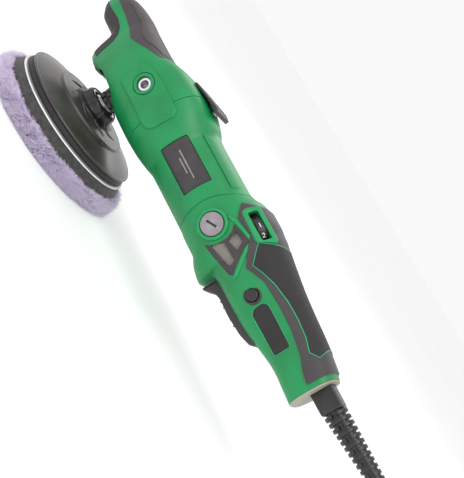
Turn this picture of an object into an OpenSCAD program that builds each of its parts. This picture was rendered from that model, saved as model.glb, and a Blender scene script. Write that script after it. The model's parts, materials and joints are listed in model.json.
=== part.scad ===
// Dual action polisher: a long two-handed machine. A motor lies along X, a bevel pair turns a
// vertical spindle at the front, and an eccentric pin carries the free-turning pad under it.
// +X runs from the nose to the tail, +Z up the spindle, and the pad's working face is at Z = 0.

/* [Body] */
// Radius of the round motor housing
motor_r = 29.5; // [27:0.5:36]
// Height of the motor's axis above the pad's working face
axis_h = 88.5; // [86:0.5:100]
// How far the nose grip reaches in front of the spindle
nose_len = 75; // [66:1:92]
// Length of the handle behind the trigger
handle_len = 54; // [46:1:72]
// Wall of every plastic shell
wall = 2.5; // [2:0.1:3]
// Extra radius of the fan chamber over the motor housing
fan_bulge = 4.5; // [3.5:0.1:7]

/* [Pad] */
// Radius of the hard backing plate
plate_r = 61.5; // [51:0.5:75]
// Thickness of the wool pile
wool_t = 13; // [8:0.5:16]
// Thickness of the foam between the wool and the loop backing
foam_t = 9; // [6:0.5:12]
// Distance from the spindle's axis to the pad's axis
throw = 4; // [3:0.5:5]

/* [Spindle and gears] */
// Radius of the spindle in its lower bearing and of the eccentric pin
spindle_r = 6; // [5:0.25:7.25]
// Teeth on the bevel gear
gear_teeth = 34; // [30:2:38]
// Teeth on the bevel pinion
pinion_teeth = 10; // [9:1:11]
// Module of the bevel pair at its large end
gear_module = 1.32; // [1.1:0.02:1.34]
// Radius of the toothed collar under the gear case
collar_r = 10.2; // [9.5:0.1:12]

/* [Motor] */
// Radius of the armature shaft in its bearings
shaft_r = 4; // [3.5:0.25:4.75]
// Thickness of the stator ring
stator_t = 8; // [6.5:0.5:9.5]
// Gap between the armature and the stator
air_gap = 0.7; // [0.5:0.1:1.2]
// Length of the lamination stack
stack_len = 42; // [35:1:46]
// Radius of a brush cap
brush_cap_r = 8.8; // [7.5:0.1:10.5]

/* [Controls] */
// Radius of the speed dial
dial_r = 13; // [11:0.5:14.5]
// Thickness of the speed dial
dial_t = 6.4; // [5.4:0.2:7]
// Width of the trigger
trigger_w = 15; // [12.5:0.5:18]
// Radius of the lock-on button
button_r = 4.6; // [4:0.1:5.6]
// How far the lock-on button travels
button_travel = 3; // [2:0.5:3.5]

/* [Fastenings] */
// Inner radius of the side handle's threaded insert, an M8 thread's root
insert_bore_r = 3.4; // [2.9:0.1:4]
// Length of a threaded insert
insert_len = 15; // [13:0.5:16]
// Radius of the housing screws' shanks
screw_r = 1.5; // [1.25:0.05:1.8]

/* [Cord] */
// Diameter of the mains cord
cord_d = 8; // [7:0.5:9]

/* [Clearances] */
// Gap round a shaft that turns in a bearing
run_gap = 0.05; // [0.03:0.01:0.09]
// Gap between fixed pieces
fit_gap = 0.15; // [0.1:0.05:0.25]
// Gap round a control that moves
move_gap = 0.5; // [0.35:0.05:0.7]

/* [Hidden] */
$fn = 48;
eps = 0.01;

// Heights in the pad stack, from the working face up
foam_z = wool_t;
loop_z = foam_z + foam_t;
loop_t = 0.8;
hook_z = loop_z + loop_t;
hook_t = 1.2;
cushion_z = hook_z + hook_t;
cushion_t = 5.4;
plate_z = cushion_z + cushion_t;
foam_r = plate_r + 5.8;
wool_r = foam_r + 7.2;

// Plate, hub and the pad's bearing
rim_t = 1.4;
disc_r = plate_r * 0.616;
disc_z = plate_z + 9.8;
hub_z = disc_z + 1.6;
hub_r = spindle_r + 10.5;
pad_brg_r = spindle_r + 8;
brg_t = 8;
hub_floor = 1.8;
pad_brg_z = hub_z + hub_floor;
hub_top = pad_brg_z + brg_t + 0.8;
pin_hole_r = spindle_r + 2;

// Collar and spindle
collar_z = hub_top + 0.7;
collar_t = 9;
nose_z = collar_z + collar_t + 1.4;
lower_brg_z = nose_z + 4.2;
gear_z = lower_brg_z + brg_t + 0.6;
upper_r = 4;
upper_brg_r = 11;
upper_brg_t = 7;
upper_brg_z = axis_h + 11;
spindle_top = upper_brg_z + upper_brg_t - 0.6;

// Bevel pair, drawn from the point where the two axes meet
pitch_r = gear_module * gear_teeth / 2;
tooth_len = 7;
inner_r = pitch_r - tooth_len;
cone = pinion_teeth / gear_teeth;
addendum = 0.8 * gear_module;
dedendum = 1.1 * gear_module;
gear_rim_z = axis_h - pitch_r * cone - dedendum;

// Gear case
case_r = pitch_r + 2.8;
case_wall = 2;
neck_r = 17;
motor_brg_r = 11;
motor_brg_t = 7;
front_brg_x = 28;
insert_x = 24;
insert_z = axis_h + 4.5;
insert_r = insert_bore_r + 1.8;
boss_r = 8.6;

// Stations along the body
head_x = 50;
rear_x = 130;
chin_x = 175;
grip_x = 231;
tail_x = grip_x + handle_len;
bulge_r = motor_r + fan_bulge;

// Motor inside its housing
shaft_front = 19;
stack_x = 76;
stator_r = motor_r - wall - 0.3;
armature_r = stator_r - stator_t - air_gap;
commutator_x = 141;
commutator_len = 16;
commutator_r = 11;
brush_x = commutator_x + commutator_len / 2 + 0.5;
rear_brg_x = 161;
rear_brg_t = 6;
rear_brg_r = 9.5;
shaft_end = rear_brg_x + rear_brg_t + 1;
fan_x = head_x - 1.4;
fan_t = 9;
lock_x = 60;

// Trigger, dial and lock
trigger_pivot = [grip_x + 2, axis_h - 17.5];
trigger_top = axis_h - 18;
dial_x = 166.5;
dial_tilt = 40;
dial_at = [dial_x, -15.1, axis_h + 20.7];
button_at = [207, axis_h - 0.5];
button_face = 22.4 + 0.8 * button_travel;
lever_hinge = [38, axis_h + motor_r + 5.9];

// Strain relief and cord
relief_z = axis_h + 8;
relief_x = tail_x - 4;
block_len = 22;
block_w = 17;
sleeve_run = 58;
sleeve_rise = 3;
cord_r = cord_d / 2;

// ---- Outline of the body: [x, lowest z, highest z, half width, squareness of the section] ----
function about(x, lo, hi, hw, n) = [x, axis_h + lo, axis_h + hi, hw, n];
nose_front = -nose_len;
NOSE = [about(nose_front, 5, 15, 8, 2.2), about(nose_front + 3, 1.5, 18.5, 13, 2.3),
        about(nose_front + 8, -2.5, 22, 16.5, 2.4), about(nose_front + 14, -5, 25.5, 19, 2.5),
        about(nose_front + 25, -5, 27, 20.5, 2.6), about(-43, -6, 27.3, 21, 2.6)];
HEAD = [about(-38, -14, 27, 21.5, 2.8), about(-35, -motor_r + 0.2, 26.5, 22.5, 3.2), about(-27, -motor_r - 0.3, 26, 25.5, 3.5),
        about(-14, -motor_r - 0.3, 25.6, motor_r, 3.6), about(2, -motor_r - 0.3, motor_r - 3.3, bulge_r - 1.6, 3.6),
        about(12, -motor_r - 0.5, motor_r + 0.9, bulge_r - 1, 3.5),
        about(28, -motor_r - 2.5, motor_r + 5.3, bulge_r - 0.4, 3.4),
        about(head_x, -motor_r - 3.1, motor_r + 6.8, bulge_r, 3)];
MOTOR = [about(head_x, -motor_r - 3.1, motor_r + 6.8, bulge_r, 3),
         about(58, -motor_r - 3.1, motor_r + 6.5, bulge_r, 2.6), about(66, -motor_r - 2.5, motor_r + 5.1, bulge_r - 0.7, 2.3),
         about(73, -motor_r - 1.5, motor_r + 3.5, bulge_r - 2.4, 2.1),
         about(81, -motor_r - 0.1, motor_r + 0.5, motor_r + 0.3, 2), about(92, -motor_r, motor_r, motor_r, 2),
         about(rear_x, -motor_r, motor_r, motor_r, 2)];
REAR = [about(rear_x, -motor_r, motor_r, motor_r, 2), about(139, -motor_r - 0.5, motor_r + 2, motor_r + 0.8, 2.1),
        about(146, -motor_r - 0.3, motor_r + 5.5, motor_r + 1.5, 2.3), about(154, -motor_r, motor_r + 6.8, motor_r + 1.8, 2.5),
        about(165, -motor_r - 4, motor_r + 6.8, motor_r + 1.5, 2.5), about(chin_x, -35, 35.2, motor_r, 2.5),
        about(chin_x + 1, -22, 35, motor_r - 0.3, 2.5), about(188, -21.5, 33, 26, 2.5),
        about(204, -21.5, 30.6, 22.5, 2.5), about(220, -21, 28.4, 20.4, 2.5),
        about(grip_x + 6, -18.5, 26.8, 19.5, 2.5), about(tail_x - 26, -15.8, 25, 19.5, 2.5),
        about(tail_x - 10, -16.5, 22.8, 20.4, 2.6), about(tail_x - 2, -17, 21, 21, 2.7)];
PANEL = concat([for (s = HEAD) if (s[0] > -30) s], [for (s = MOTOR) if (s[0] > head_x && s[0] < 75) s]);

SEG = 32;
// A point of the section at an angle: a rounded square of the given squareness, grown by g
function power(v, n) = sign(v) * pow(abs(v), 2 / n);
function ring_point(s, a, g) =
    [s[0], (s[3] + g) * power(cos(a), s[4]),
     (s[1] + s[2]) / 2 + ((s[2] - s[1]) / 2 + g) * power(sin(a), s[4])];

// Solid body through the stations, grown by g all round its sections
module loft(stations, g = 0) {
    n = len(stations);
    points = [for (s = stations) for (k = [0:SEG - 1]) ring_point(s, k * 360 / SEG, g)];
    faces = concat([[for (k = [0:SEG - 1]) k]], [[for (k = [SEG - 1:-1:0]) (n - 1) * SEG + k]],
        [for (i = [0:n - 2]) for (k = [0:SEG - 1]) let (j = (k + 1) % SEG, a = i * SEG, b = a + SEG)
            each [[a + k, b + k, b + j], [a + k, b + j, a + j]]]);
    polyhedron(points, faces, convexity = 6);
}

// Curved wall t thick between two section angles, its outside grown by g
module bent_wall(stations, t, from, to, g = 0) {
    n = len(stations);
    m = round((to - from) * SEG / 360);
    w = 2 * (m + 1);
    angle = [for (k = [0:m]) from + k * (to - from) / m];
    points = [for (s = stations)
        each concat([for (a = angle) ring_point(s, a, g)],
                    [for (k = [m:-1:0]) ring_point(s, angle[k], g - t)])];
    caps = [for (k = [0:m - 1]) each [[k, k + 1, w - 2 - k], [k, w - 2 - k, w - 1 - k]]];
    faces = concat(caps,
        [for (c = caps) [for (k = [2:-1:0]) (n - 1) * w + c[k]]],
        [for (i = [0:n - 2]) for (k = [0:w - 1]) let (j = (k + 1) % w, a = i * w, b = a + w)
            each [[a + k, b + k, b + j], [a + k, b + j, a + j]]]);
    polyhedron(points, faces, convexity = 8);
}

// Closed tube wall between the outline and the outline shrunk by t
module tube_wall(stations, t, g = 0) {
    n = len(stations);
    w = 2 * SEG;
    points = [for (s = stations) each concat(
        [for (k = [0:SEG - 1]) ring_point(s, k * 360 / SEG, g)],
        [for (k = [0:SEG - 1]) ring_point(s, k * 360 / SEG, g - t)])];
    function side(i, k, o, flip) = let (j = (k + 1) % SEG, a = i * w + o, b = a + w)
        flip ? [[a + k, b + j, b + k], [a + k, a + j, b + j]] : [[a + k, b + k, b + j], [a + k, b + j, a + j]];
    function rim(i, k, flip) = let (j = (k + 1) % SEG, a = i * w, b = a + SEG)
        flip ? [[a + k, b + j, b + k], [a + k, a + j, b + j]] : [[a + k, b + k, b + j], [a + k, b + j, a + j]];
    faces = concat(
        [for (i = [0:n - 2]) for (k = [0:SEG - 1]) each side(i, k, 0, false)],
        [for (i = [0:n - 2]) for (k = [0:SEG - 1]) each side(i, k, SEG, true)],
        [for (k = [0:SEG - 1]) each rim(0, k, true)],
        [for (k = [0:SEG - 1]) each rim(n - 1, k, false)]);
    polyhedron(points, faces, convexity = 8);
}

// ---- Small helpers ----
module tube(r_out, r_in, h) {
    difference() {
        cylinder(r = r_out, h = h);
        translate([0, 0, -1]) cylinder(r = r_in, h = h + 2);
    }
}

// Turns a shape drawn along Z so that it lies along X from x
module along_x(x) { translate([x, 0, axis_h]) rotate([0, 90, 0]) children(); }

// Turns a shape drawn along Z so that it points out of the left side (-Y) from depth y
module out_left(x, y, z) { translate([x, -y, z]) rotate([90, 0, 0]) children(); }

// The shape and its mirror image on the right side
module both_sides() {
    children();
    mirror([0, 1, 0]) children();
}

// Prism of an outline in X and Z, from y = -far to y = -near
module side_prism(points, near, far) {
    translate([0, -near, 0]) rotate([90, 0, 0]) linear_extrude(far - near) polygon(points);
}

// Ball bearing: two rings and a ring of balls between them
module ball_bearing(r_in, r_out, t, balls = 8) {
    ring = (r_out - r_in) * 0.3;
    mid = (r_in + r_out) / 2;
    ball = (r_out - r_in) / 2 - ring - 0.05;
    tube(r_in + ring, r_in, t);
    tube(r_out, r_out - ring, t);
    for (k = [0:balls - 1])
        rotate(k * 360 / balls) translate([mid, 0, t / 2]) sphere(r = ball, $fn = 24);
}

// Helical spring of a few turns
module coil_spring(r, wire, h, turns) {
    steps = turns * 14;
    sweep([for (k = [0:steps]) [r * cos(360 * k / 14), r * sin(360 * k / 14), h * k / steps]], [0, 0, 1], wire);
}

function turned(points, a) = [for (p = points) [p[0] * cos(a) - p[1] * sin(a), p[0] * sin(a) + p[1] * cos(a)]];

// ---- The pad, which turns freely on the eccentric pin ----
module on_pad_axis(z) { translate([0, -throw, z]) children(); }

module wool_pad() color("#C9B4DC") on_pad_axis(0) {
    round_r = wool_t * 0.46;
    rotate_extrude($fn = 96) {
        square([wool_r - round_r, wool_t]);
        translate([0, round_r]) square([wool_r, wool_t - 2 * round_r]);
        translate([wool_r - round_r, round_r]) circle(r = round_r, $fn = 32);
        translate([wool_r - round_r, wool_t - round_r]) circle(r = round_r, $fn = 32);
    }
}

module pad_foam() color("#3A3838") on_pad_axis(foam_z)
    cylinder(r1 = foam_r, r2 = plate_r + 1.6, h = foam_t, $fn = 96);

module loop_backing() color("white") on_pad_axis(loop_z) cylinder(r = plate_r + 1.2, h = loop_t, $fn = 96);

module hook_face() color("#2A2828") on_pad_axis(hook_z) tube(plate_r + 0.6, pin_hole_r, hook_t, $fn = 96);

module plate_cushion() color("#1F1D1D") on_pad_axis(cushion_z) tube(plate_r - 0.2, pin_hole_r, cushion_t, $fn = 96);

module backing_plate() color("#5A5550") on_pad_axis(0)
    difference() {
        rotate_extrude($fn = 96) polygon([[pin_hole_r, plate_z], [plate_r, plate_z], [plate_r, plate_z + rim_t],
            [plate_r - 1, plate_z + rim_t + 0.8], [disc_r + 1.8, disc_z - 1.8], [disc_r, disc_z],
            [hub_r + 4, hub_z], [pin_hole_r, hub_z]]);
        for (k = [0:3]) rotate(45 + 90 * k) translate([hub_r - 4.6, 0, 0]) {
            translate([0, 0, plate_z - 1]) cylinder(r = 1.6, h = 20);
            translate([0, 0, plate_z - 1]) cylinder(r = 3.1, h = 4);
        }
    }

module pad_hub() color("#211F20") on_pad_axis(0)
    difference() {
        union() {
            translate([0, 0, hub_z]) cylinder(r = hub_r, h = hub_top - hub_z);
            translate([0, 0, hub_z]) cylinder(r1 = hub_r + 3, r2 = hub_r, h = 4);
            for (k = [0:11]) rotate(30 * k) translate([hub_r - 1, -1, hub_z]) cube([3.2, 2, 6.5]);
        }
        translate([0, 0, pad_brg_z]) cylinder(r = pad_brg_r, h = brg_t + 5);
        translate([0, 0, hub_z - 1]) cylinder(r = pin_hole_r + 0.5, h = 10);
        for (k = [0:3]) rotate(45 + 90 * k) translate([hub_r - 4.6, 0, hub_z - 1]) cylinder(r = 1.6, h = 2.6);
    }

module pad_bearing() color("silver") on_pad_axis(pad_brg_z)
    ball_bearing(spindle_r + run_gap, pad_brg_r, brg_t, 9);

module plate_screws() color("#8C8C90") on_pad_axis(0)
    for (k = [0:3]) rotate(45 + 90 * k) translate([hub_r - 4.6, 0, 0]) {
        translate([0, 0, plate_z + 0.4]) cylinder(r = 2.8, h = 2.5);
        translate([0, 0, plate_z + 0.4]) cylinder(r = 1.5, h = hub_z + 1.4 - plate_z - 0.4);
    }

// ---- The spindle and what turns with it ----
module spindle() color("#B8B8BC") {
    difference() {
        union() {
            on_pad_axis(pad_brg_z + 0.1) cylinder(r = spindle_r, h = collar_z - pad_brg_z - 0.1);
            translate([0, 0, collar_z]) cylinder(r = spindle_r, h = upper_brg_z - 2 - collar_z);
            translate([0, 0, upper_brg_z - 2 - eps]) cylinder(r = upper_r, h = spindle_top - upper_brg_z + 2);
        }
        on_pad_axis(pad_brg_z - 1) cylinder(r = 2.6, h = 12);
        translate([spindle_r - 1.5, -1.5, gear_z + 0.5]) cube([3, 3, 5.4]);
    }
}

module pad_screw() color("#8C8C90") on_pad_axis(0) {
    translate([0, 0, pad_brg_z - 4.6]) cylinder(r = 5.2, h = 3.4);
    translate([0, 0, pad_brg_z - 1.3]) cylinder(r = spindle_r + 1.5, h = 1.2);
    translate([0, 0, pad_brg_z - 1.3]) cylinder(r = 2.5, h = 11);
}

module bevel_gear() color("#9A9A9E")
    difference() {
        union() {
            rotate_extrude() polygon([[0, gear_z], [11, gear_z], [11, gear_z + 3], [pitch_r + 0.1, gear_z + 3],
                [pitch_r + 0.1, gear_rim_z], [inner_r - 0.1, gear_rim_z + tooth_len * cone + 0.2],
                [0, gear_rim_z + tooth_len * cone + 0.2]]);
            intersection() {
                rotate_extrude() polygon([[inner_r, gear_rim_z + 1], [pitch_r, gear_rim_z - 1],
                    [pitch_r, gear_rim_z + dedendum + addendum], [inner_r, axis_h - inner_r * cone + addendum * 0.7]]);
                for (k = [0:gear_teeth - 1]) rotate((k + 0.5) * 360 / gear_teeth)
                    translate([0, 0, gear_rim_z - 2]) linear_extrude(8)
                        polygon([[inner_r - 1, -0.37], [pitch_r + 1, -0.55], [pitch_r + 1, 0.55], [inner_r - 1, 0.37]]);
            }
        }
        translate([0, 0, gear_z - 1]) cylinder(r = spindle_r + 0.02, h = 20);
        translate([0, -1.5, gear_z + 0.5]) cube([spindle_r + 1.5, 3, 5.4]);
    }

module gear_key() color("#77777B")
    translate([spindle_r - 1.45, -1.45, gear_z + 0.6]) cube([2.9, 2.9, 5.2]);

// Half ring on the side away from the pad's offset, clamped round the spindle over the gear
module counterweight() color("#6E6E72") translate([0, 0, gear_rim_z + tooth_len * cone + 0.4])
    difference() {
        union() {
            cylinder(r = spindle_r + 2.5, h = 3);
            intersection() {
                cylinder(r = inner_r - 1.6, h = 3);
                translate([-inner_r, 1.5, 0]) cube([2 * inner_r, inner_r, 3]);
            }
        }
        translate([0, 0, -1]) cylinder(r = spindle_r + 0.02, h = 20);
    }

module spindle_collar() color("#262425") {
    difference() {
        union() {
            translate([0, 0, collar_z]) cylinder(r = collar_r - 0.9, h = collar_t);
            for (row = [0, 1]) for (k = [0:11]) rotate(30 * k + 15 * row)
                translate([collar_r - 1.6, -1.4, collar_z + 0.3 + row * collar_t / 2]) cube([1.6, 2.8, collar_t / 2 - 0.7]);
        }
        translate([0, 0, collar_z - 1]) cylinder(r = spindle_r + 0.02, h = collar_t + 2);
    }
}

// ---- The armature and what turns with it ----
module armature_shaft() color("#B8B8BC") {
    along_x(shaft_front) cylinder(r = 3.2, h = 9);
    along_x(shaft_front + 7.6) cylinder(r = shaft_r, h = rear_brg_x - shaft_front - 7.8);
    along_x(rear_brg_x - 0.3) cylinder(r = 3.5, h = shaft_end - rear_brg_x + 0.3);
}

module armature_core() color("#6F6C6A") along_x(stack_x)
    difference() {
        cylinder(r = armature_r, h = stack_len);
        translate([0, 0, -1]) cylinder(r = shaft_r + 0.02, h = stack_len + 2);
        for (k = [0:11]) rotate(30 * k) translate([armature_r - 4, -0.9, -1]) cube([6, 1.8, stack_len + 2]);
    }

module armature_windings() color("#B56A35")
    for (x = [stack_x - 8.2, stack_x + stack_len + 0.2]) along_x(x) tube(armature_r - 1.5, shaft_r + 0.1, 8);

module commutator() color("#C07A45") along_x(commutator_x)
    difference() {
        union() {
            cylinder(r = commutator_r, h = commutator_len);
            cylinder(r = commutator_r + 1.2, h = 2.4);
        }
        translate([0, 0, -1]) cylinder(r = shaft_r + 0.02, h = commutator_len + 2);
        for (k = [0:11]) rotate(30 * k) translate([commutator_r - 1, -0.25, -1]) cube([4, 0.5, commutator_len + 2]);
    }

module cooling_fan() color("#3B3739") along_x(fan_x) {
    tube(shaft_r + 6, shaft_r + 0.02, fan_t);
    translate([0, 0, fan_t - 1.6]) tube(bulge_r - wall - 3.4, shaft_r + 5, 1.6);
    for (k = [0:8]) rotate(40 * k) translate([shaft_r + 5, -0.8, 1])
        cube([bulge_r - wall - 10.4 - shaft_r, 1.6, fan_t - 2]);
}

// Straight bevel teeth: the profile at the large end shrinks towards the point where the axes meet
module bevel_pinion() color("#9A9A9E") {
    pinion_r = pitch_r * cone;
    root_r = pinion_r - dedendum;
    tip_r = pinion_r + addendum;
    step = 360 / pinion_teeth;
    profile = [for (k = [0:pinion_teeth - 1]) each turned(
        [[root_r * cos(8.5), -root_r * sin(8.5)], [pinion_r * cos(6.2), -pinion_r * sin(6.2)],
         [tip_r * cos(3.2), -tip_r * sin(3.2)], [tip_r * cos(3.2), tip_r * sin(3.2)],
         [pinion_r * cos(6.2), pinion_r * sin(6.2)], [root_r * cos(8.5), root_r * sin(8.5)]], k * step)];
    difference() {
        union() {
            along_x(pitch_r) rotate([180, 0, 0])
                linear_extrude(height = tooth_len, scale = inner_r / pitch_r) polygon(profile);
            along_x(pitch_r - 0.1) cylinder(r = root_r - 0.2, h = 4.2);
            along_x(pitch_r + 0.2) cylinder(r = root_r + 0.6, h = 3.9);
        }
        along_x(shaft_front - 0.1) cylinder(r = 3.22, h = 12);
    }
}

module lock_collar() color("#8C8C90") along_x(lock_x - 2)
    difference() {
        cylinder(r = 9.5, h = 4);
        translate([0, 0, -1]) cylinder(r = shaft_r + 0.02, h = 6);
        for (k = [0:3]) rotate(90 * k) translate([-9.5, 0, -1]) cylinder(r = 3, h = 6);
    }

// ---- Gear case ----
module gear_case() color("#B9B9BB")
    difference() {
        union() {
            translate([0, 0, lower_brg_z]) cylinder(r1 = case_r - 3, r2 = case_r, h = 3);
            translate([0, 0, lower_brg_z + 3 - eps]) cylinder(r = case_r, h = axis_h + 7 - lower_brg_z);
            translate([0, 0, axis_h + 9]) cylinder(r = upper_brg_r + case_wall, h = upper_brg_t + 4);
            along_x(10) cylinder(r = neck_r, h = head_x - 13);
            along_x(head_x - 6) cylinder(r = motor_r - wall - 1, h = 4);
            both_sides() out_left(insert_x, 14, insert_z) cylinder(r = insert_r + 2.3, h = bulge_r - wall - 15.2);
        }
        translate([0, 0, lower_brg_z + brg_t - 0.2]) cylinder(r = case_r - case_wall, h = axis_h + 8 - lower_brg_z - brg_t);
        translate([0, 0, lower_brg_z - 1]) cylinder(r = pad_brg_r, h = brg_t + 2);
        translate([0, 0, upper_brg_z - 0.5]) cylinder(r = upper_brg_r, h = upper_brg_t + 0.6);
        translate([0, 0, axis_h]) cylinder(r = spindle_r + 1, h = 14);
        along_x(0) cylinder(r = 9, h = head_x);
        along_x(front_brg_x) cylinder(r = motor_brg_r, h = motor_brg_t);
        along_x(front_brg_x + motor_brg_t - 0.1) cylinder(r = motor_brg_r, h = head_x);
        both_sides() out_left(insert_x, 18, insert_z) cylinder(r = insert_r, h = 40);
    }

// Cover plate that holds the lower bearing in the case
module bearing_nose() color("#C9C9CB") translate([0, 0, nose_z])
    difference() {
        union() {
            cylinder(r1 = 13.5, r2 = 16, h = 2);
            translate([0, 0, 2 - eps]) cylinder(r = 20, h = lower_brg_z - nose_z - 2 - fit_gap);
        }
        translate([0, 0, -1]) cylinder(r = spindle_r + 0.6, h = 10);
    }

module spindle_bearings() color("silver") {
    translate([0, 0, lower_brg_z]) ball_bearing(spindle_r + run_gap, pad_brg_r, brg_t - 0.3, 9);
    translate([0, 0, upper_brg_z - 0.4]) ball_bearing(upper_r + run_gap, upper_brg_r, upper_brg_t, 7);
}

module motor_bearings() color("silver") {
    along_x(front_brg_x) ball_bearing(shaft_r + run_gap, motor_brg_r, motor_brg_t, 7);
    along_x(rear_brg_x) ball_bearing(3.5 + run_gap, rear_brg_r, rear_brg_t, 7);
}

module side_inserts() color("#D5D5D8") both_sides()
    out_left(insert_x, 18.2, insert_z) tube(insert_r - 0.02, insert_bore_r, insert_len);

// ---- Head covers and nose grip ----
// Upper and lower edges of the bare band along the nose
band_top = [[nose_front - 6, axis_h + 14.5], [nose_front + 15, axis_h + 15.5], [nose_front + 29, axis_h + 14.5],
            [-32, axis_h + 12.5], [-22, axis_h + 10.5], [-16, axis_h + 12.5], [-8, axis_h + 16.5], [8, axis_h + 24]];
band_low = [[nose_front - 6, axis_h + 5.5], [nose_front + 14, axis_h + 7.5], [nose_front + 28, axis_h + 8.5],
            [-39, axis_h + 6.5], [-33, axis_h + 2.5], [-29.5, axis_h - 2.5], [-27.5, axis_h - 13], [-27, axis_h - 34]];
grip_top_region = concat(band_top, [[8, axis_h + 40], [nose_front - 6, axis_h + 40]]);
grip_low_region = concat(band_low, [[nose_front - 6, axis_h - 34]]);
grip_t = 2;
FRONT = concat(NOSE, HEAD);

// A station, with the nose's front one moved back behind the grips' end wall
function behind_tip(s) = s[0] == nose_front ? [s[0] + 0.7, s[1], s[2], s[3], s[4]] : s;

// Half of the head cover on the left side; the covers carry the nose's core and its bare band
module head_half(left) {
    difference() {
        union() {
            intersection() {
                bent_wall(FRONT, wall, 90, 270);
                side_prism(bare_region, -1, 60);
            }
            bent_wall([for (s = FRONT) if (s[0] < -26) behind_tip(s)], wall, 90, 270, -grip_t);
            intersection() {
                bent_wall(PANEL, 1.2, 100, 260, 0.9);
                side_prism(panel_outline, 10, 60);
            }
            out_left(insert_x, bulge_r - wall - 0.5, insert_z) cylinder(r = boss_r, h = wall + 1.8);
            screw_posts(head_screws);
        }
        arch_cut();
        out_left(insert_x, 0, insert_z) cylinder(r = 6, h = 60);
        translate([lever_hinge[0] - 2.4, -13.2, lever_hinge[1] - 1.5]) cube([4.8, 30, 10]);
        screw_holes(head_screws, !left);
    }
}
panel_outline = [[5, axis_h + 8], [10, axis_h + 13], [17, axis_h + 16.5], [26, axis_h + 18],
                 [head_x - 0.5, axis_h + 17.6], [head_x - 0.5, axis_h - 11], [8, axis_h - 10.5]];
bare_region = concat(band_top, [[8, axis_h + 45], [head_x + 5, axis_h + 45], [head_x + 5, axis_h - 45],
                     [-27, axis_h - 45]], [for (k = [len(band_low) - 1:-1:0]) band_low[k]]);

// Arch under the head that leaves room for the collar
module arch_cut() { translate([2, 60, axis_h - 43.5]) rotate([90, 0, 0]) cylinder(r = 22, h = 120); }

module head_cover_left() color("#009A58") head_half(true);
module head_cover_right() color("#009A58") mirror([0, 1, 0]) head_half(false);

module nose_grip(region) {
    difference() {
        intersection() {
            loft([for (s = FRONT) if (s[0] < 10) s]);
            side_prism(region, -60, 60);
        }
        loft([for (s = FRONT) if (s[0] < 14) behind_tip(s)], 0.1 - grip_t);
        arch_cut();
    }
}
module nose_grip_upper() color("#4A4447") nose_grip(grip_top_region);
module nose_grip_lower() color("#3B3739") nose_grip(grip_low_region);

// ---- Motor housing ----
plate_x = [77, 117];
plate_zs = [axis_h - 8.5, axis_h + 13.5];
module motor_housing() color("#00A05C")
    difference() {
        tube_wall([for (s = MOTOR) [s[0] == head_x ? s[0] + 0.1 : s[0] == rear_x ? s[0] - 0.1 : s[0], s[1], s[2], s[3], s[4]]], wall);
        both_sides() intersection() {
            translate([plate_x[0] - 0.2, -60, plate_zs[0] - 0.2])
                cube([plate_x[1] - plate_x[0] + 0.4, 60, plate_zs[1] - plate_zs[0] + 0.4]);
            along_x(0) tube(motor_r + 4, motor_r - 1.5, 200);
        }
        translate([lock_x, 0, axis_h + 20]) cylinder(r = 3, h = 20);
    }

module name_plates() color("#4A4447") both_sides()
    intersection() {
        translate([plate_x[0], -60, plate_zs[0]]) cube([plate_x[1] - plate_x[0], 60, plate_zs[1] - plate_zs[0]]);
        along_x(0) tube(motor_r - 0.3, motor_r - 1.4, 200);
    }

module stator_core() color("#5F5C5A") along_x(stack_x - 1)
    difference() {
        cylinder(r = stator_r, h = stack_len + 2);
        translate([0, 0, -1]) cylinder(r = stator_r - stator_t, h = stack_len + 4);
    }

module field_coils() color("#B56A35")
    for (x = [stack_x - 9.2, stack_x + stack_len + 1.2]) along_x(x)
        difference() {
            tube(stator_r - 1.5, armature_r + 0.2, 8);
            for (s = [0, 1]) rotate(180 * s) translate([0, -4, -1]) cube([40, 8, 10]);
        }

// ---- Rear housing, brushes and vents ----
trigger_mouth = [chin_x + 1.2, grip_x + 6];
mouth_top = axis_h - 12;
// The web that carries the rear bearing stops under the dial
web_top = axis_h + 14;
vent_outline = [[157, axis_h + 14], [173, axis_h + 17.5], [188.5, axis_h - 6], [186, axis_h - 8],
                [158.5, axis_h - 13], [162, axis_h - 8.5], [163.8, axis_h - 2.5], [163.8, axis_h + 4.5],
                [161.5, axis_h + 10]];
inset_outline = [[218, axis_h + 6], [244, axis_h + 6.5], [244, axis_h - 8], [219, axis_h - 8],
                 [215.5, axis_h - 5], [215, axis_h + 3]];
bezel_outline = [[-15, 8.2], [15, 8.2], [16, 6], [11, -8.2], [-14.5, -8.2], [-16, -3]];
dial_slot = [23.5, dial_t + 1.2];
// Screws through the covers and housings: [x, z, depth of the head's seat]
rear_screws = [[136, axis_h + 21.5, 14], [186, axis_h + 24, 14], [250, axis_h + 17, 11],
               [250, axis_h - 10, 11], [tail_x - 18, axis_h + 15.5, 11]];
head_screws = [[-56, axis_h + 11, 15.5], [38, axis_h + 27, 22], [37, axis_h - 25, 21]];
post_r = screw_r + 2.2;
head_r = screw_r + 1.5;

// Moves each point of an outline away from its middle by g
function grown(points, g) =
    let (c = [for (k = [0, 1]) [for (p = points) p[k]] * [for (p = points) 1] / len(points)])
    [for (p = points) p + g * (p - c) / norm(p - c)];

module at_dial() { translate(dial_at) rotate([-dial_tilt, 0, 0]) children(); }

// Bezel's prism, from the dial's middle outwards
module bezel_block(from, to, g = 0) {
    at_dial() translate([0, -from, 0]) rotate([90, 0, 0]) linear_extrude(to - from) polygon(grown(bezel_outline, g));
}

module screw_posts(screws) {
    for (p = screws) out_left(p[0], 0, p[1]) cylinder(r = post_r, h = p[2] + 1);
}

// Clear holes on the side with the heads, blind ones on the other
module screw_holes(screws, heads) {
    for (p = screws) {
        out_left(p[0], -1, p[1]) cylinder(r = screw_r + 0.05, h = heads ? 60 : 12);
        if (heads) out_left(p[0], p[2], p[1]) cylinder(r = head_r + 0.1, h = 40);
    }
}

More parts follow.
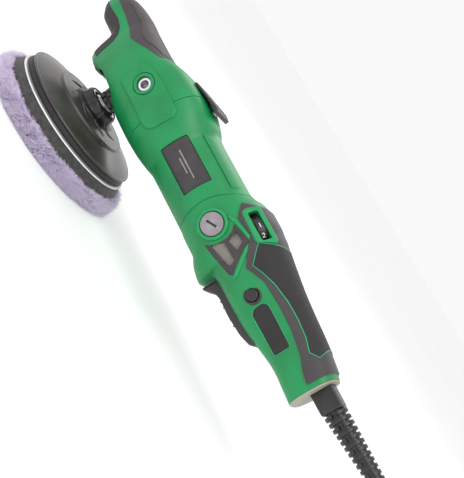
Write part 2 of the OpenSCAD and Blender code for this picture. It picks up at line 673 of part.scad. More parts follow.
module rear_half(left) {
    difference() {
        union() {
            bent_wall(REAR, wall, 90, 270);
            intersection() {
                loft([for (s = REAR) if (s[0] > tail_x - 12) s]);
                translate([tail_x - 5, -60, 0]) cube([10, 60, 300]);
            }
            out_left(brush_x, motor_r - wall - 1, axis_h) cylinder(r = brush_cap_r + 3.4, h = wall + 4.8);
            intersection() {
                along_x(rear_brg_x) {
                    tube(rear_brg_r + 2.5, rear_brg_r, rear_brg_t);
                    translate([0, 0, 2]) tube(motor_r + 0.2, rear_brg_r, 2);
                }
                translate([rear_x, -60, 0]) cube([60, 60, web_top]);
            }
            screw_posts(rear_screws);
            out_left(trigger_pivot[0], trigger_w / 2 + 1.2, trigger_pivot[1] + 1) cylinder(r = 4.6, h = 8.6);
        }
        out_left(brush_x, 0, axis_h) cylinder(r = brush_cap_r + 0.7, h = 60);
        out_left(trigger_pivot[0], 0, trigger_pivot[1]) cylinder(r = 2.05, h = trigger_w / 2 + 4);
        translate([trigger_mouth[0], -trigger_w / 2 - move_gap, 0])
            cube([trigger_mouth[1] - trigger_mouth[0], 60, mouth_top]);
        side_prism(grown(vent_outline, fit_gap), 5, 60);
        side_prism(grown(inset_outline, fit_gap), 5, 60);
        along_x(tail_x - 8) translate([axis_h - relief_z, 0, 0]) cylinder(r = 7.2, h = 20);
        translate([relief_x - fit_gap, -block_w / 2 - fit_gap, relief_z - block_w / 2 - fit_gap])
            cube([20, block_w, block_w + 2 * fit_gap]);
        screw_holes(rear_screws, !left);
        if (left) {
            bezel_block(2, 30, fit_gap);
            at_dial() translate([0, 0, -dial_t / 2 - move_gap]) cylinder(r = dial_r + 1, h = dial_t + 2 * move_gap);
            out_left(button_at[0], 0, button_at[1]) cylinder(r = button_r + move_gap, h = 60);
        }
    }
}

module rear_housing_left() color("#009A58") rear_half(true);
module rear_housing_right() color("#009A58") mirror([0, 1, 0]) rear_half(false);

module brush_caps() color("#A89FA3") both_sides()
    difference() {
        out_left(brush_x, 26.8, axis_h) cylinder(r = brush_cap_r, h = motor_r + 4.2 - 26.8);
        out_left(brush_x, motor_r + 3, axis_h) rotate(20) translate([-0.8, -4.5, 0]) cube([1.6, 9, 4]);
    }

module brush_holders() color("#B08D3C") both_sides()
    difference() {
        translate([brush_x - 5, -26.5, axis_h - 4]) cube([10, 26.5 - commutator_r - 1.4, 8]);
        translate([brush_x - 3.3, -27, axis_h - 2.5]) cube([6.6, 20, 5]);
    }

module carbon_brushes() color("#2E2E30") both_sides()
    translate([brush_x - 3.15, -21.5, axis_h - 2.35]) cube([6.3, 21.5 - commutator_r - 0.3, 4.7]);

module brush_springs() color("#C9A94A") both_sides()
    out_left(brush_x, 21.9, axis_h) coil_spring(1.7, 0.3, 4.2, 4);

module vent_panels() color("#4A4447") both_sides()
    difference() {
        intersection() {
            bent_wall([for (s = REAR) if (s[0] > 140 && s[0] < 205) s], wall - 0.4, 120, 240, -0.2);
            side_prism(vent_outline, 10, 60);
        }
        for (k = [0:2]) translate([165, -60, axis_h + 5.4 + 2.4 * k]) cube([8 - k, 60, 1.1]);
        for (k = [0:3]) translate([165.5, -60, axis_h - 8.2 + 2.4 * k]) cube([16 - k, 60, 1.1]);
    }

module dial_bezel() color("#00A862")
    difference() {
        intersection() {
            bezel_block(8.6, 14.2);
            loft([for (s = REAR) if (s[0] > 140 && s[0] < 205) s], 2);
        }
        at_dial() translate([-dial_slot[0] / 2, -30, -dial_slot[1] / 2]) cube([dial_slot[0], 30, dial_slot[1]]);
    }

module speed_board() color("#1E5B3A") {
    translate([192, -10, axis_h + 13]) cube([32, 20, 1.6]);
    translate([206, -3, axis_h + 14.6]) cylinder(r = 4, h = 7);
    translate([214, 2, axis_h + 14.6]) cube([8, 5, 6]);
}

module switch_body() color("#2B2B2D") translate([190, -8, axis_h - 11.8]) cube([36, 16, 20]);

// Rubber saddle over the top of the housing, down to a line along its sides
grip_line = [[141, axis_h + 45], [147, axis_h + 30.5], [144.5, axis_h + 25.5], [146.5, axis_h + 23.5],
             [155, axis_h + 17.8], [169, axis_h + 19.7], [189, axis_h + 5], [194, axis_h + 8], [203, axis_h + 12],
             [222, axis_h + 12.6], [242, axis_h + 12], [grip_x + 30, axis_h + 9], [tail_x - 14, axis_h + 5.5],
             [tail_x - 6, axis_h + 4], [tail_x - 6, axis_h + 45]];
module handle_grip() color("#4A4447")
    difference() {
        intersection() {
            bent_wall([for (s = REAR) if (s[0] > 138) s], 1.1, -22.5, 202.5, 1.2);
            side_prism(grip_line, -60, 60);
        }
        bezel_block(2, 30, 0.3);
        mirror([0, 1, 0]) for (p = rear_screws) out_left(p[0], 0, p[1]) cylinder(r = head_r + 0.1, h = 60);
        both_sides() out_left(brush_x, 20, axis_h) cylinder(r = brush_cap_r + 3.7, h = 60);
    }

module handle_insets() color("#3B3739") both_sides()
    intersection() {
        bent_wall([for (s = REAR) if (s[0] > 190) s], wall - 0.4, 120, 240, -0.2);
        side_prism(inset_outline, 5, 60);
    }

module housing_screws() color("#77777B") mirror([0, 1, 0])
    for (p = concat(head_screws, rear_screws)) {
        out_left(p[0], p[2] + 0.05, p[1]) cylinder(r = head_r, h = 2);
        out_left(p[0], -9, p[1]) cylinder(r = screw_r, h = p[2] + 9.1);
    }

// ---- Strain relief ----
sleeve_x = relief_x + block_len;
rib_pitch = 4.6;
rib_count = 12;
sleeve_len = norm([sleeve_run, sleeve_rise]);
function sleeve_r(h) = 8.8 - 3 * h / sleeve_len;
module strain_relief() color("#2E2C2D") {
    translate([relief_x, -block_w / 2, relief_z - block_w / 2]) cube([block_len - 1, block_w, block_w]);
    translate([relief_x - 8, 0, relief_z]) rotate([0, 90, 0]) cylinder(r = 7, h = 9);
    translate([relief_x - 11, 0, relief_z]) rotate([0, 90, 0]) cylinder(r = 9, h = 3.4);
    translate([sleeve_x, 0, relief_z]) rotate([0, 90 - atan2(sleeve_rise, sleeve_run), 0])
        rotate_extrude() polygon(concat([[0, -2.5]], [[8.2, -2.5]], [for (k = [0:rib_count - 1]) let (h = 1 + k * rib_pitch)
            each [[sleeve_r(h) - 1.7, h], [sleeve_r(h), h + 0.3], [sleeve_r(h), h + 2.6], [sleeve_r(h) - 1.7, h + 2.9]]],
            [[sleeve_r(sleeve_len) - 0.8, sleeve_len], [0, sleeve_len]]));
}

module cord_clamp() color("#3B3739")
    difference() {
        translate([grip_x + 27, -11, relief_z - 6.5]) cube([7, 22, 6]);
        translate([grip_x + 26, 0, relief_z]) rotate([0, 90, 0]) cylinder(r = cord_r + fit_gap, h = 9);
        for (s = [-1, 1]) translate([grip_x + 30.5, 8 * s, relief_z - 7]) cylinder(r = 1.5, h = 8);
    }

// ---- Controls ----
module speed_dial() color("#1D1B1C") at_dial()
    difference() {
        union() {
            translate([0, 0, -dial_t / 2]) cylinder(r = dial_r - 0.4, h = dial_t);
            for (k = [0:35]) rotate(10 * k) translate([dial_r - 0.7, -0.45, -dial_t / 2]) cube([0.7, 0.9, 0.8]);
        }
        translate([0, 0, -dial_t]) cylinder(r = 2.5, h = 3 * dial_t);
    }

module trigger() color("#3B3739") {
    side = [[chin_x + 3.2, axis_h - 34.8], [chin_x + 5, axis_h - 34.5], [chin_x + 8.5, axis_h - 31],
            [chin_x + 12, axis_h - 27.5], [chin_x + 17, axis_h - 26.3], [grip_x - 24, axis_h - 26.8],
            [grip_x - 8, axis_h - 25.4], [grip_x + 2, axis_h - 22.5], [grip_x + 4.6, axis_h - 20],
            [grip_x + 4.4, axis_h - 15.4], [grip_x, axis_h - 14.6], [grip_x - 8, trigger_top],
            [chin_x + 3.2, trigger_top]];
    difference() {
        side_prism(side, -trigger_w / 2, trigger_w / 2);
        translate([spring_x, 0, trigger_top - spring_well]) cylinder(r = spring_r + 1.1, h = spring_well + 1);
    }
    translate([trigger_pivot[0], trigger_w / 2 + 3.4, trigger_pivot[1]]) rotate([90, 0, 0])
        cylinder(r = 2, h = trigger_w + 6.8);
}

// Drawn at its length with the trigger pulled, so a pull closes the well round it
spring_x = 199;
spring_r = 2.8;
spring_well = 3.6;
module trigger_spring() color("#B8B8BC")
    translate([spring_x, 0, trigger_top + 0.6]) coil_spring(spring_r, 0.4, 4.8, 3);

module lock_on_button() color("#1D1B1C") {
    out_left(button_at[0], 12.5, button_at[1]) cylinder(r = button_r, h = button_face - 12.5);
    out_left(button_at[0], 15.6, button_at[1]) cylinder(r = button_r + 1.6, h = 1.6);
}

// ---- Spindle lock ----
module lock_lever() color("#3B3739") {
    top = axis_h + motor_r + 6.5;
    side_prism([[34, top - 0.3], [35.5, top + 1.8], [63, top + 5.7], [66.4, top + 5.1], [66.8, top + 3],
                [60, top + 2.6], [50, top + 1.8], [44, top + 0.9], [39.4, top], [36.6, top - 0.4]], -13, 13);
    translate([lever_hinge[0], 12.8, lever_hinge[1] + 0.5]) rotate([90, 0, 0]) cylinder(r = 1.7, h = 25.6);
}

module lock_pin() color("#B8B8BC") translate([lock_x, 0, axis_h + 10.1]) cylinder(r = 2, h = motor_r - 1.4);

// ---- Mains cord: down to the surface, then a tied coil with the plug on it ----
CORD = [[361, 0, 99.5], [372, 0, 100], [384, -1, 99], [396, -2, 95], [407, -4, 88], [417, -6, 78], [425, -8, 67],
        [432, -11, 55], [439, -14, 43], [447, -17, 32], [457, -20, 22], [468, -23, 14], [480, -26, 8.5],
        [493, -27.5, 6], [506, -28, 5.4]];
coil_at = [520, 22];
coil_outer = 50;
coil_step = 8.1;
coil_low = 5.4;
// From the coil's last turn up to the plug
TAIL = [[521, -12, 21.6], [530, -12, 24], [539, -10, 27.5], [547, -5, 31], [554, 2, 33.2], [559, 11, 34.2],
        [561.5, 19, 34.2], [562, 26, 34.2]];

// Tube of eight sides along a list of points; across is a direction that the path never follows
module sweep(path, across, r = cord_r) {
    last = len(path) - 1;
    points = [for (i = [0:last])
        let (t = path[min(i + 1, last)] - path[max(i - 1, 0)],
             side = cross(t, across), u = side / norm(side), up = cross(u, t), v = up / norm(up))
        for (k = [0:7]) path[i] + r * (cos(45 * k) * u + sin(45 * k) * v)];
    faces = concat([[for (k = [7:-1:0]) k]], [[for (k = [0:7]) last * 8 + k]],
        [for (i = [0:last - 1]) for (k = [0:7]) let (j = (k + 1) % 8, a = i * 8, b = a + 8)
            each [[a + k, b + j, b + k], [a + k, a + j, b + j]]]);
    polyhedron(points, faces, convexity = 4);
}

module power_cord() color("#1D1B1C") {
    sweep(CORD, [0, 1, 0]);
    sweep(TAIL, [0, 0, 1]);
}

module cord_coil() color("#1D1B1C")
    translate([coil_at[0], coil_at[1], coil_low - cord_r])
        tube(coil_outer + cord_r, coil_outer - 2 * coil_step - cord_r, 2 * coil_step + cord_d);

module coil_tie() color("#3A3838") {
    near = coil_outer - 2 * coil_step - cord_r - 0.8;
    far = coil_outer + cord_r + 0.2;
    high = 2 * coil_step + cord_d;
    difference() {
        translate([coil_at[0] - far - 1.2, coil_at[1] - 6, 0.1]) cube([far - near + 2.4, 12, coil_low - cord_r + high + 1.2]);
        translate([coil_at[0] - far, coil_at[1] - 7, coil_low - cord_r - 0.1]) cube([far - near, 14, high + 0.2]);
    }
}

module mains_plug() color("#1D1B1C") translate([562, 26, 34.2]) rotate([-90, 0, 0]) {
    cylinder(r1 = 5, r2 = 7, h = 12);
    translate([0, 0, 12 - eps]) linear_extrude(25)
        polygon([[-16, -4], [-12, -8], [12, -8], [16, -4], [16, 4], [12, 8], [-12, 8], [-16, 4]]);
    for (s = [-1, 1]) translate([9.5 * s, 0, 36]) cylinder(r = 2.4, h = 20);
}

wool_pad();
pad_foam();
loop_backing();
hook_face();
plate_cushion();
backing_plate();
pad_hub();
pad_bearing();
plate_screws();
spindle();
bevel_gear();
gear_key();
counterweight();
spindle_collar();
pad_screw();
armature_shaft();
armature_core();
armature_windings();
commutator();
cooling_fan();
bevel_pinion();
lock_collar();
gear_case();
bearing_nose();
spindle_bearings();
motor_bearings();
side_inserts();
head_cover_left();
head_cover_right();
nose_grip_upper();
nose_grip_lower();
motor_housing();
name_plates();
stator_core();
field_coils();
rear_housing_left();
rear_housing_right();
brush_caps();
brush_holders();
carbon_brushes();
brush_springs();
vent_panels();
dial_bezel();
speed_board();
switch_body();
handle_grip();
handle_insets();
housing_screws();
strain_relief();
cord_clamp();
speed_dial();
trigger();
trigger_spring();
lock_on_button();
lock_lever();
lock_pin();
power_cord();
cord_coil();
coil_tie();
mains_plug();
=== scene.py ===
"""Looks of the dual action polisher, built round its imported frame.

Sizes are in millimetres and offsets named z are measured from the motor's axis, unless a name says
otherwise. Every new surface is worked out with numpy as a function of two parameters.
"""

from __future__ import annotations

import json
import logging
import math
from dataclasses import dataclass, field
from enum import Enum
from typing import Callable

import bmesh
import bpy
import numpy as np
from mathutils import Matrix, Vector

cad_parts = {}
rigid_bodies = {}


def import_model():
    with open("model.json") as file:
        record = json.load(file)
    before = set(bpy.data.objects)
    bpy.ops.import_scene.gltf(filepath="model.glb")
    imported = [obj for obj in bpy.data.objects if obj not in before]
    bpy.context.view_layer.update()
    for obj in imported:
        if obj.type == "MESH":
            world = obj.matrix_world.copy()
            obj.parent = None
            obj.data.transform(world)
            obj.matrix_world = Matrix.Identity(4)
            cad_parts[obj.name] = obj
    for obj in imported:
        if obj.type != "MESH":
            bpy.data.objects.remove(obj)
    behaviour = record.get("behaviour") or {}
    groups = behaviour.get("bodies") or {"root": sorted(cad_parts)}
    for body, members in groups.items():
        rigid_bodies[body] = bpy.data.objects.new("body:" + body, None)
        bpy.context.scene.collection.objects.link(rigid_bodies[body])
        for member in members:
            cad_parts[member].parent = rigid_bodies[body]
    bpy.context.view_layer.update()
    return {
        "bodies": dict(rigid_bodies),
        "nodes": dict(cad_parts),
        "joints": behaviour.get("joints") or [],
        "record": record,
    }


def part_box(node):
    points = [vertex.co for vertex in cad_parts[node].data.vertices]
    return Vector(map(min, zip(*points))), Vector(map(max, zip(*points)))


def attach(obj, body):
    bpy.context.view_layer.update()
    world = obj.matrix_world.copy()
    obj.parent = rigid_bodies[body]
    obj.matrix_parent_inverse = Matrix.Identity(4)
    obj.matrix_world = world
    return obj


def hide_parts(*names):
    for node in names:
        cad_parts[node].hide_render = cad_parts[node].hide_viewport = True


MM = 0.001
LOG = logging.getLogger("polisher")
Surface = Callable[[np.ndarray, np.ndarray, np.ndarray], np.ndarray]


# ---------------------------------------------------------------- numbers and curves


def linear(code: str) -> tuple[float, float, float, float]:
    """Turns an sRGB hex colour into linear red, green, blue and alpha.

    Args:
        code: Colour such as "#009A58".

    Returns:
        The four linear values that Blender's sockets take.
    """
    parts = [int(code[i : i + 2], 16) / 255 for i in (1, 3, 5)]
    bent = [c / 12.92 if c <= 0.04045 else ((c + 0.055) / 1.055) ** 2.4 for c in parts]
    return (*bent, 1.0)


def monotone(x: np.ndarray, xs: np.ndarray, ys: np.ndarray) -> np.ndarray:
    """Smooth curve through points that never swings past them.

    Cubic between neighbours, where the slope at a point is the weighted harmonic mean of the slopes on
    both sides of it, or zero where they have different signs.

    Args:
        x: Where the curve is wanted.
        xs: Places of the points, rising.
        ys: Values at the points.

    Returns:
        The curve's values, in the shape of x.
    """
    h, d = np.diff(xs), np.diff(ys) / np.diff(xs)
    w1, w2 = 2 * h[1:] + h[:-1], h[1:] + 2 * h[:-1]
    same = d[:-1] * d[1:] > 0
    safe = np.where(same, d[:-1], 1.0), np.where(same, d[1:], 1.0)
    slope = np.concatenate([d[:1], np.where(same, (w1 + w2) / (w1 / safe[0] + w2 / safe[1]), 0.0), d[-1:]])
    k = np.clip(np.searchsorted(xs, x, "right") - 1, 0, len(h) - 1)
    t = np.clip((x - xs[k]) / h[k], 0, 1)
    return (
        ys[k] * (1 + 2 * t) * (1 - t) ** 2
        + ys[k + 1] * t**2 * (3 - 2 * t)
        + h[k] * slope[k] * t * (1 - t) ** 2
        - h[k] * slope[k + 1] * t**2 * (1 - t)
    )


def spline(points: np.ndarray, step: float) -> np.ndarray:
    """Natural cubic curve through points, as points about a step apart.

    Each stretch is a cubic of the chord length, and the bends at the points come from one set of
    linear equations that makes the curve's bend the same on both sides of every point.

    Args:
        points: The points in order, one row each.
        step: Distance between the new points, in the points' unit.

    Returns:
        The new points, one row each.
    """
    h = np.linalg.norm(np.diff(points, axis=0), axis=1)
    n, at = len(points), np.concatenate([[0.0], np.cumsum(h)])
    matrix, right = np.eye(n), np.zeros_like(points)
    i = np.arange(1, n - 1)
    matrix[i, i - 1], matrix[i, i], matrix[i, i + 1] = h[:-1], 2 * (h[:-1] + h[1:]), h[1:]
    slopes = np.diff(points, axis=0) / h[:, None]
    right[1:-1] = 6 * (slopes[1:] - slopes[:-1])
    bend = np.linalg.solve(matrix, right)
    s = np.linspace(0, at[-1], int(at[-1] / step) + 1)
    k = np.clip(np.searchsorted(at, s, "right") - 1, 0, n - 2)
    a, b, w = (at[k + 1] - s)[:, None], (s - at[k])[:, None], h[k][:, None]
    return (
        bend[k] * a**3 / (6 * w)
        + bend[k + 1] * b**3 / (6 * w)
        + (points[k] / w - bend[k] * w / 6) * a
        + (points[k + 1] / w - bend[k + 1] * w / 6) * b
    )


def rounded(points: list | np.ndarray, radius: float, closed: bool = True, steps: int = 5) -> np.ndarray:
    """Outline with its corners turned into arcs.

    At each corner a parabola runs from a point on the side before to one on the side after, each a
    radius away or 0.45 of the side, whichever is less.

    Args:
        points: Corners in order, one row each.
        radius: Distance from a corner to where its arc starts.
        closed: Whether the last corner joins the first.
        steps: Points along each arc.

    Returns:
        The rounded outline, one row for each point.
    """
    p = np.asarray(points, float)
    before, after = np.roll(p, 1, 0) - p, np.roll(p, -1, 0) - p
    lb, la = np.linalg.norm(before, axis=1), np.linalg.norm(after, axis=1)
    reach = np.minimum(radius, 0.45 * np.minimum(lb, la))[:, None]
    start, end = p + before / lb[:, None] * reach, p + after / la[:, None] * reach
    t = np.linspace(0, 1, steps)[None, :, None]
    arcs = (1 - t) ** 2 * start[:, None] + 2 * t * (1 - t) * p[:, None] + t**2 * end[:, None]
    if closed:
        return arcs.reshape(-1, p.shape[1])
    return np.concatenate([p[:1], arcs[1:-1].reshape(-1, p.shape[1]), p[-1:]])


def resampled(points: np.ndarray, count: int, closed: bool = True) -> np.ndarray:
    """The same line with its points evenly apart.

    Args:
        points: Points of the line, one row each.
        count: How many points the new line has.
        closed: Whether the line's end joins its start.

    Returns:
        The new points, one row each.
    """
    p = np.vstack([points, points[:1]]) if closed else points
    at = np.concatenate([[0.0], np.cumsum(np.linalg.norm(np.diff(p, axis=0), axis=1))])
    s = np.linspace(0, at[-1], count, endpoint=not closed)
    return np.stack([np.interp(s, at, p[:, k]) for k in range(p.shape[1])], axis=1)


def drawn_in(loop: np.ndarray, distance: np.ndarray | float) -> np.ndarray:
    """Closed flat outline with every point moved inwards, square to the line there.

    Args:
        loop: Points of the outline, one row of two each.
        distance: How far each point moves.

    Returns:
        The moved points.
    """
    along = np.roll(loop, -1, 0) - np.roll(loop, 1, 0)
    across = np.stack([-along[:, 1], along[:, 0]], 1)
    across /= np.linalg.norm(across, axis=1)[:, None] + 1e-9
    turn = np.sign(np.sum(loop[:, 0] * np.roll(loop[:, 1], -1) - loop[:, 1] * np.roll(loop[:, 0], -1)))
    return loop + turn * across * np.asarray(distance).reshape(-1, 1)


def turn_over(distance: np.ndarray, radius: float) -> np.ndarray:
    """How far a surface drops at a distance from its rim, where a quarter circle rounds it."""
    near = np.clip(radius - distance, 0, radius)
    return radius - np.sqrt(np.maximum(radius**2 - near**2, 0))


# ---------------------------------------------------------------- solids


@dataclass
class Solid:
    """Closed surface, as points in millimetres and faces that list them."""

    points: np.ndarray
    faces: list[list[int]]

    def mirrored(self) -> Solid:
        """The same solid on the other side of the machine."""
        return Solid(self.points * [1, -1, 1], self.faces)

    def placed(self, basis: np.ndarray, at: tuple | np.ndarray) -> Solid:
        """The solid turned so that X, Y and Z become the basis's rows, then moved."""
        return Solid(self.points @ np.asarray(basis, float) + np.asarray(at, float), self.faces)


SIDES: dict[str, Callable[[Solid], Solid]] = {"left": lambda solid: solid, "right": Solid.mirrored}


def grid_faces(rows: int, columns: int, wrap: bool) -> np.ndarray:
    """Faces of four corners between the points of a grid.

    Args:
        rows: Points along the first parameter.
        columns: Points along the second parameter.
        wrap: Whether the last column joins the first.

    Returns:
        One row of four point numbers for each face.
    """
    i, j = np.meshgrid(np.arange(rows - 1), np.arange(columns if wrap else columns - 1), indexing="ij")
    k = (j + 1) % columns
    return np.stack([i * columns + j, i * columns + k, (i + 1) * columns + k, (i + 1) * columns + j], -1).reshape(-1, 4)


def solid_between(outer: np.ndarray, inner: np.ndarray, wrap: bool, core: bool = False) -> Solid:
    """Solid between two sheets of the same grid, closed by walls along their rims.

    Args:
        outer: Points of the outer sheet, rows by columns by three.
        inner: Points of the inner sheet.
        wrap: Whether each row is a closed ring.
        core: Whether the first row is one point, which needs no wall.

    Returns:
        The closed solid.
    """
    rows, columns = outer.shape[:2]
    count = rows * columns
    faces = grid_faces(rows, columns, wrap)
    index = np.arange(count).reshape(rows, columns)
    if wrap:
        rims = [np.append(index[-1], index[-1, 0])] + ([] if core else [np.append(index[0], index[0, 0])])
    else:
        rims = [np.concatenate([index[:, 0], index[-1, 1:], index[-2::-1, -1], index[0, -2::-1]])]
    walls = [np.stack([r[:-1], r[1:], r[1:] + count, r[:-1] + count], 1) for r in rims]
    everything = np.vstack([faces, faces[:, ::-1] + count, *walls])
    return Solid(np.vstack([outer.reshape(-1, 3), inner.reshape(-1, 3)]), everything.tolist())


def crowded(count: int, length: float, edge: float) -> np.ndarray:
    """Parameters from 0 to 1 that lie close together where an edge of that radius turns over."""
    near = np.array([0.0, 0.08, 0.3, 0.62, 1.0]) * edge / length
    return np.concatenate([near[:-1], np.linspace(near[-1], 1 - near[-1], count), 1 - near[-2::-1]])


def slab(surface: Surface, counts: tuple[int, int], top: float, bottom: float, edge: float = 0.4,
         wrap: bool = False) -> Solid:
    """Plate that follows a surface, with rounded rims.

    The upper sheet lies at height top, and falls by a quarter circle towards each rim; the lower sheet
    lies at height bottom.

    Args:
        surface: Gives points for two parameters from 0 to 1 and a height over the surface.
        counts: Grid lines along the two parameters.
        top: Height of the upper sheet.
        bottom: Height of the lower sheet.
        edge: Radius of the rims.
        wrap: Whether the second parameter runs round a closed ring.

    Returns:
        The closed solid.
    """
    line = np.linspace(0, 1, 40)
    middle, zero = np.full(40, 0.5), np.zeros(40)
    run = [np.linalg.norm(np.diff(surface(line, middle, zero), axis=0), axis=1).sum(),
           np.linalg.norm(np.diff(surface(middle, line, zero), axis=0), axis=1).sum()]
    u = crowded(counts[0], run[0], edge)
    v = np.linspace(0, 1, counts[1], endpoint=False) if wrap else crowded(counts[1], run[1], edge)
    grid_u, grid_v = np.meshgrid(u, v, indexing="ij")
    drop = turn_over(np.minimum(grid_u, 1 - grid_u) * run[0], edge)
    if not wrap:
        drop = np.maximum(drop, turn_over(np.minimum(grid_v, 1 - grid_v) * run[1], edge))
    return solid_between(surface(grid_u, grid_v, top - drop), surface(grid_u, grid_v, np.full_like(drop, bottom)), wrap)


def patch(outline: np.ndarray, centre: tuple[float, float], place: Callable, top: float, bottom: float,
          edge: float = 0.4, hole: np.ndarray | None = None, rings: int = 14) -> Solid:
    """Plate over an outline, with a rounded rim and maybe a hole.

    Each ring is the outline drawn in towards the centre, or towards the hole, by an equal share.

    Args:
        outline: Flat points of the rim.
        centre: Flat point that sees the whole rim.
        place: Puts flat points at a height in space.
        top: Height of the upper sheet.
        bottom: Height of the lower sheet.
        edge: Radius of the rim.
        hole: Flat points of the hole's rim, as many as the outline has.
        rings: Rings between the centre and the rim.

    Returns:
        The closed solid.
    """
    core = np.repeat([centre], len(outline), axis=0) if hole is None else hole
    width = float(np.linalg.norm(outline - core, axis=1).mean())
    share = crowded(rings, width, edge)
    if hole is None:
        share = np.concatenate([[0.0], share[4:]])
    flat = core[None] + share[:, None, None] * (outline - core)[None]
    away = (1 - share) if hole is None else np.minimum(share, 1 - share)
    drop = np.repeat(turn_over(away * width, edge)[:, None], len(outline), 1)
    upper = place(flat[..., 0], flat[..., 1], top - drop)
    lower = place(flat[..., 0], flat[..., 1], np.full_like(drop, bottom))
    return solid_between(upper, lower, True, hole is None)


def lathed(profile: np.ndarray, sides: int = 96, shape: Callable | None = None) -> Solid:
    """Closed outline of radius and height carried round Z.

    Args:
        profile: Closed outline, one row of radius and height each.
        sides: Points round a turn.
        shape: Changes the radius, from radius, height and angle.

    Returns:
        The closed solid.
    """
    a = np.linspace(0, 2 * np.pi, sides, endpoint=False)[None]
    loop = np.vstack([profile, profile[:1]])
    r, h = np.broadcast_arrays(loop[:, :1], a)[0], np.broadcast_arrays(loop[:, 1:], a)[0]
    if shape is not None:
        r = shape(r, h, a)
    points = np.stack([r * np.cos(a), r * np.sin(a), h], -1)
    return Solid(points.reshape(-1, 3), grid_faces(len(loop), sides, True).tolist())


def stacked(rings: np.ndarray) -> Solid:
    """Solid through closed rings of the same count, with a flat face on the first and last."""
    count, sides = rings.shape[:2]
    faces = grid_faces(count, sides, True).tolist()
    faces += [list(range(sides))[::-1], list(range((count - 1) * sides, count * sides))]
    return Solid(rings.reshape(-1, 3), faces)


def prism(outline: np.ndarray, near: float, far: float, edge: float = 0.8) -> Solid:
    """Outline in X and Z carried across Y, with rounded ends.

    The outline is drawn in by a quarter circle over the last stretch before each end.

    Args:
        outline: Flat points, one row of X and Z each.
        near: Y of one end.
        far: Y of the other end.
        edge: Radius of the ends' rims.

    Returns:
        The closed solid.
    """
    t = np.linspace(0, np.pi / 2, 5)
    y = np.concatenate([near + edge * (1 - np.cos(t)), far - edge * (1 - np.cos(t[::-1]))])
    inset = np.concatenate([edge * (1 - np.sin(t)), edge * (1 - np.sin(t[::-1]))])
    rings = [drawn_in(outline, np.full(len(outline), d)) for d in inset]
    return stacked(np.stack([np.stack([r[:, 0], np.full(len(r), h), r[:, 1]], 1) for r, h in zip(rings, y)]))


def across(outline: np.ndarray, near: float, far: float) -> Solid:
    """Straight block over an outline of X and Z, between two places along Y."""
    ends = [np.stack([outline[:, 0], np.full(len(outline), y), outline[:, 1]], 1) for y in (near, far)]
    return stacked(np.stack(ends))


def tube(path: np.ndarray, radius: float | np.ndarray, sides: int = 10, across: tuple = (0.0, 0.0, 1.0)) -> Solid:
    """Round bar along a path, closed at both ends.

    The ring at each point stands square to the path, between a sideways line, which is the path's
    direction crossed with a fixed one, and the line square to both.

    Args:
        path: Points of its middle line.
        radius: Its radius, or one for each point.
        sides: Points round a ring.
        across: A direction that the path never takes.

    Returns:
        The closed solid.
    """
    t = np.gradient(path, axis=0)
    side = np.cross(t, across)
    side /= np.linalg.norm(side, axis=1)[:, None]
    up = np.cross(side, t)
    up /= np.linalg.norm(up, axis=1)[:, None]
    a = np.linspace(0, 2 * np.pi, sides, endpoint=False)[None, :, None]
    r = np.broadcast_to(np.asarray(radius, float).reshape(-1, 1, 1), (len(path), 1, 1))
    return stacked(path[:, None] + r * (np.cos(a) * side[:, None] + np.sin(a) * up[:, None]))


def circle(radius: float, count: int, centre: tuple[float, float] = (0.0, 0.0), start: float = 0.0) -> np.ndarray:
    """Flat points evenly round a circle."""
    a = start + np.linspace(0, 2 * np.pi, count, endpoint=False)
    return np.stack([centre[0] + radius * np.cos(a), centre[1] + radius * np.sin(a)], 1)


def seen_from(outline: np.ndarray, centre: tuple[float, float], count: int) -> tuple[np.ndarray, np.ndarray]:
    """Outline and its points' angles, evenly spaced, for a hole that faces each of them."""
    loop = resampled(outline, count)
    return loop, np.arctan2(loop[:, 1] - centre[1], loop[:, 0] - centre[0])


# ---------------------------------------------------------------- pieces


def make_piece(name: str, solids: list[Solid], finish: Finish, body: str, replaces: tuple = (),
               smooth_deg: float = 32.0) -> bpy.types.Object:
    """Makes one object of some solids and hangs it on its body.

    Args:
        name: The piece's name.
        solids: Closed solids in millimetres in the row frame.
        finish: Its finish.
        body: The CAD body that it rides on.
        replaces: CAD nodes that it stands for.
        smooth_deg: Edges sharper than this stay sharp.

    Returns:
        The new object.
    """
    starts = np.cumsum([0] + [len(s.points) for s in solids])
    points = np.vstack([s.points for s in solids]) * MM
    faces = [[k + int(start) for k in face] for s, start in zip(solids, starts) for face in s.faces]
    mesh = bpy.data.meshes.new(name)
    mesh.from_pydata(points.tolist(), [], faces)
    tidy_mesh(mesh)
    mesh.shade_smooth()
    mesh.set_sharp_from_angle(angle=math.radians(smooth_deg))
    obj = bpy.data.objects.new(name, mesh)
    bpy.context.scene.collection.objects.link(obj)
    mesh.materials.append(finish.material())
    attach(obj, body)
    if replaces:
        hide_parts(*replaces)
    LOG.info("%s: %d faces on %s", name, len(mesh.polygons), body)
    return obj


def tidy_mesh(mesh: bpy.types.Mesh) -> None:
    """Joins points that coincide, drops what has no area and turns every face outwards."""
    work = bmesh.new()
    work.from_mesh(mesh)
    bmesh.ops.remove_doubles(work, verts=work.verts, dist=0.003 * MM)
    bmesh.ops.dissolve_degenerate(work, edges=work.edges, dist=0.0005 * MM)
    loose = [v for v in work.verts if not v.link_faces]
    bmesh.ops.delete(work, geom=loose, context="VERTS")
    bmesh.ops.recalc_face_normals(work, faces=work.faces)
    work.to_mesh(mesh)
    work.free()


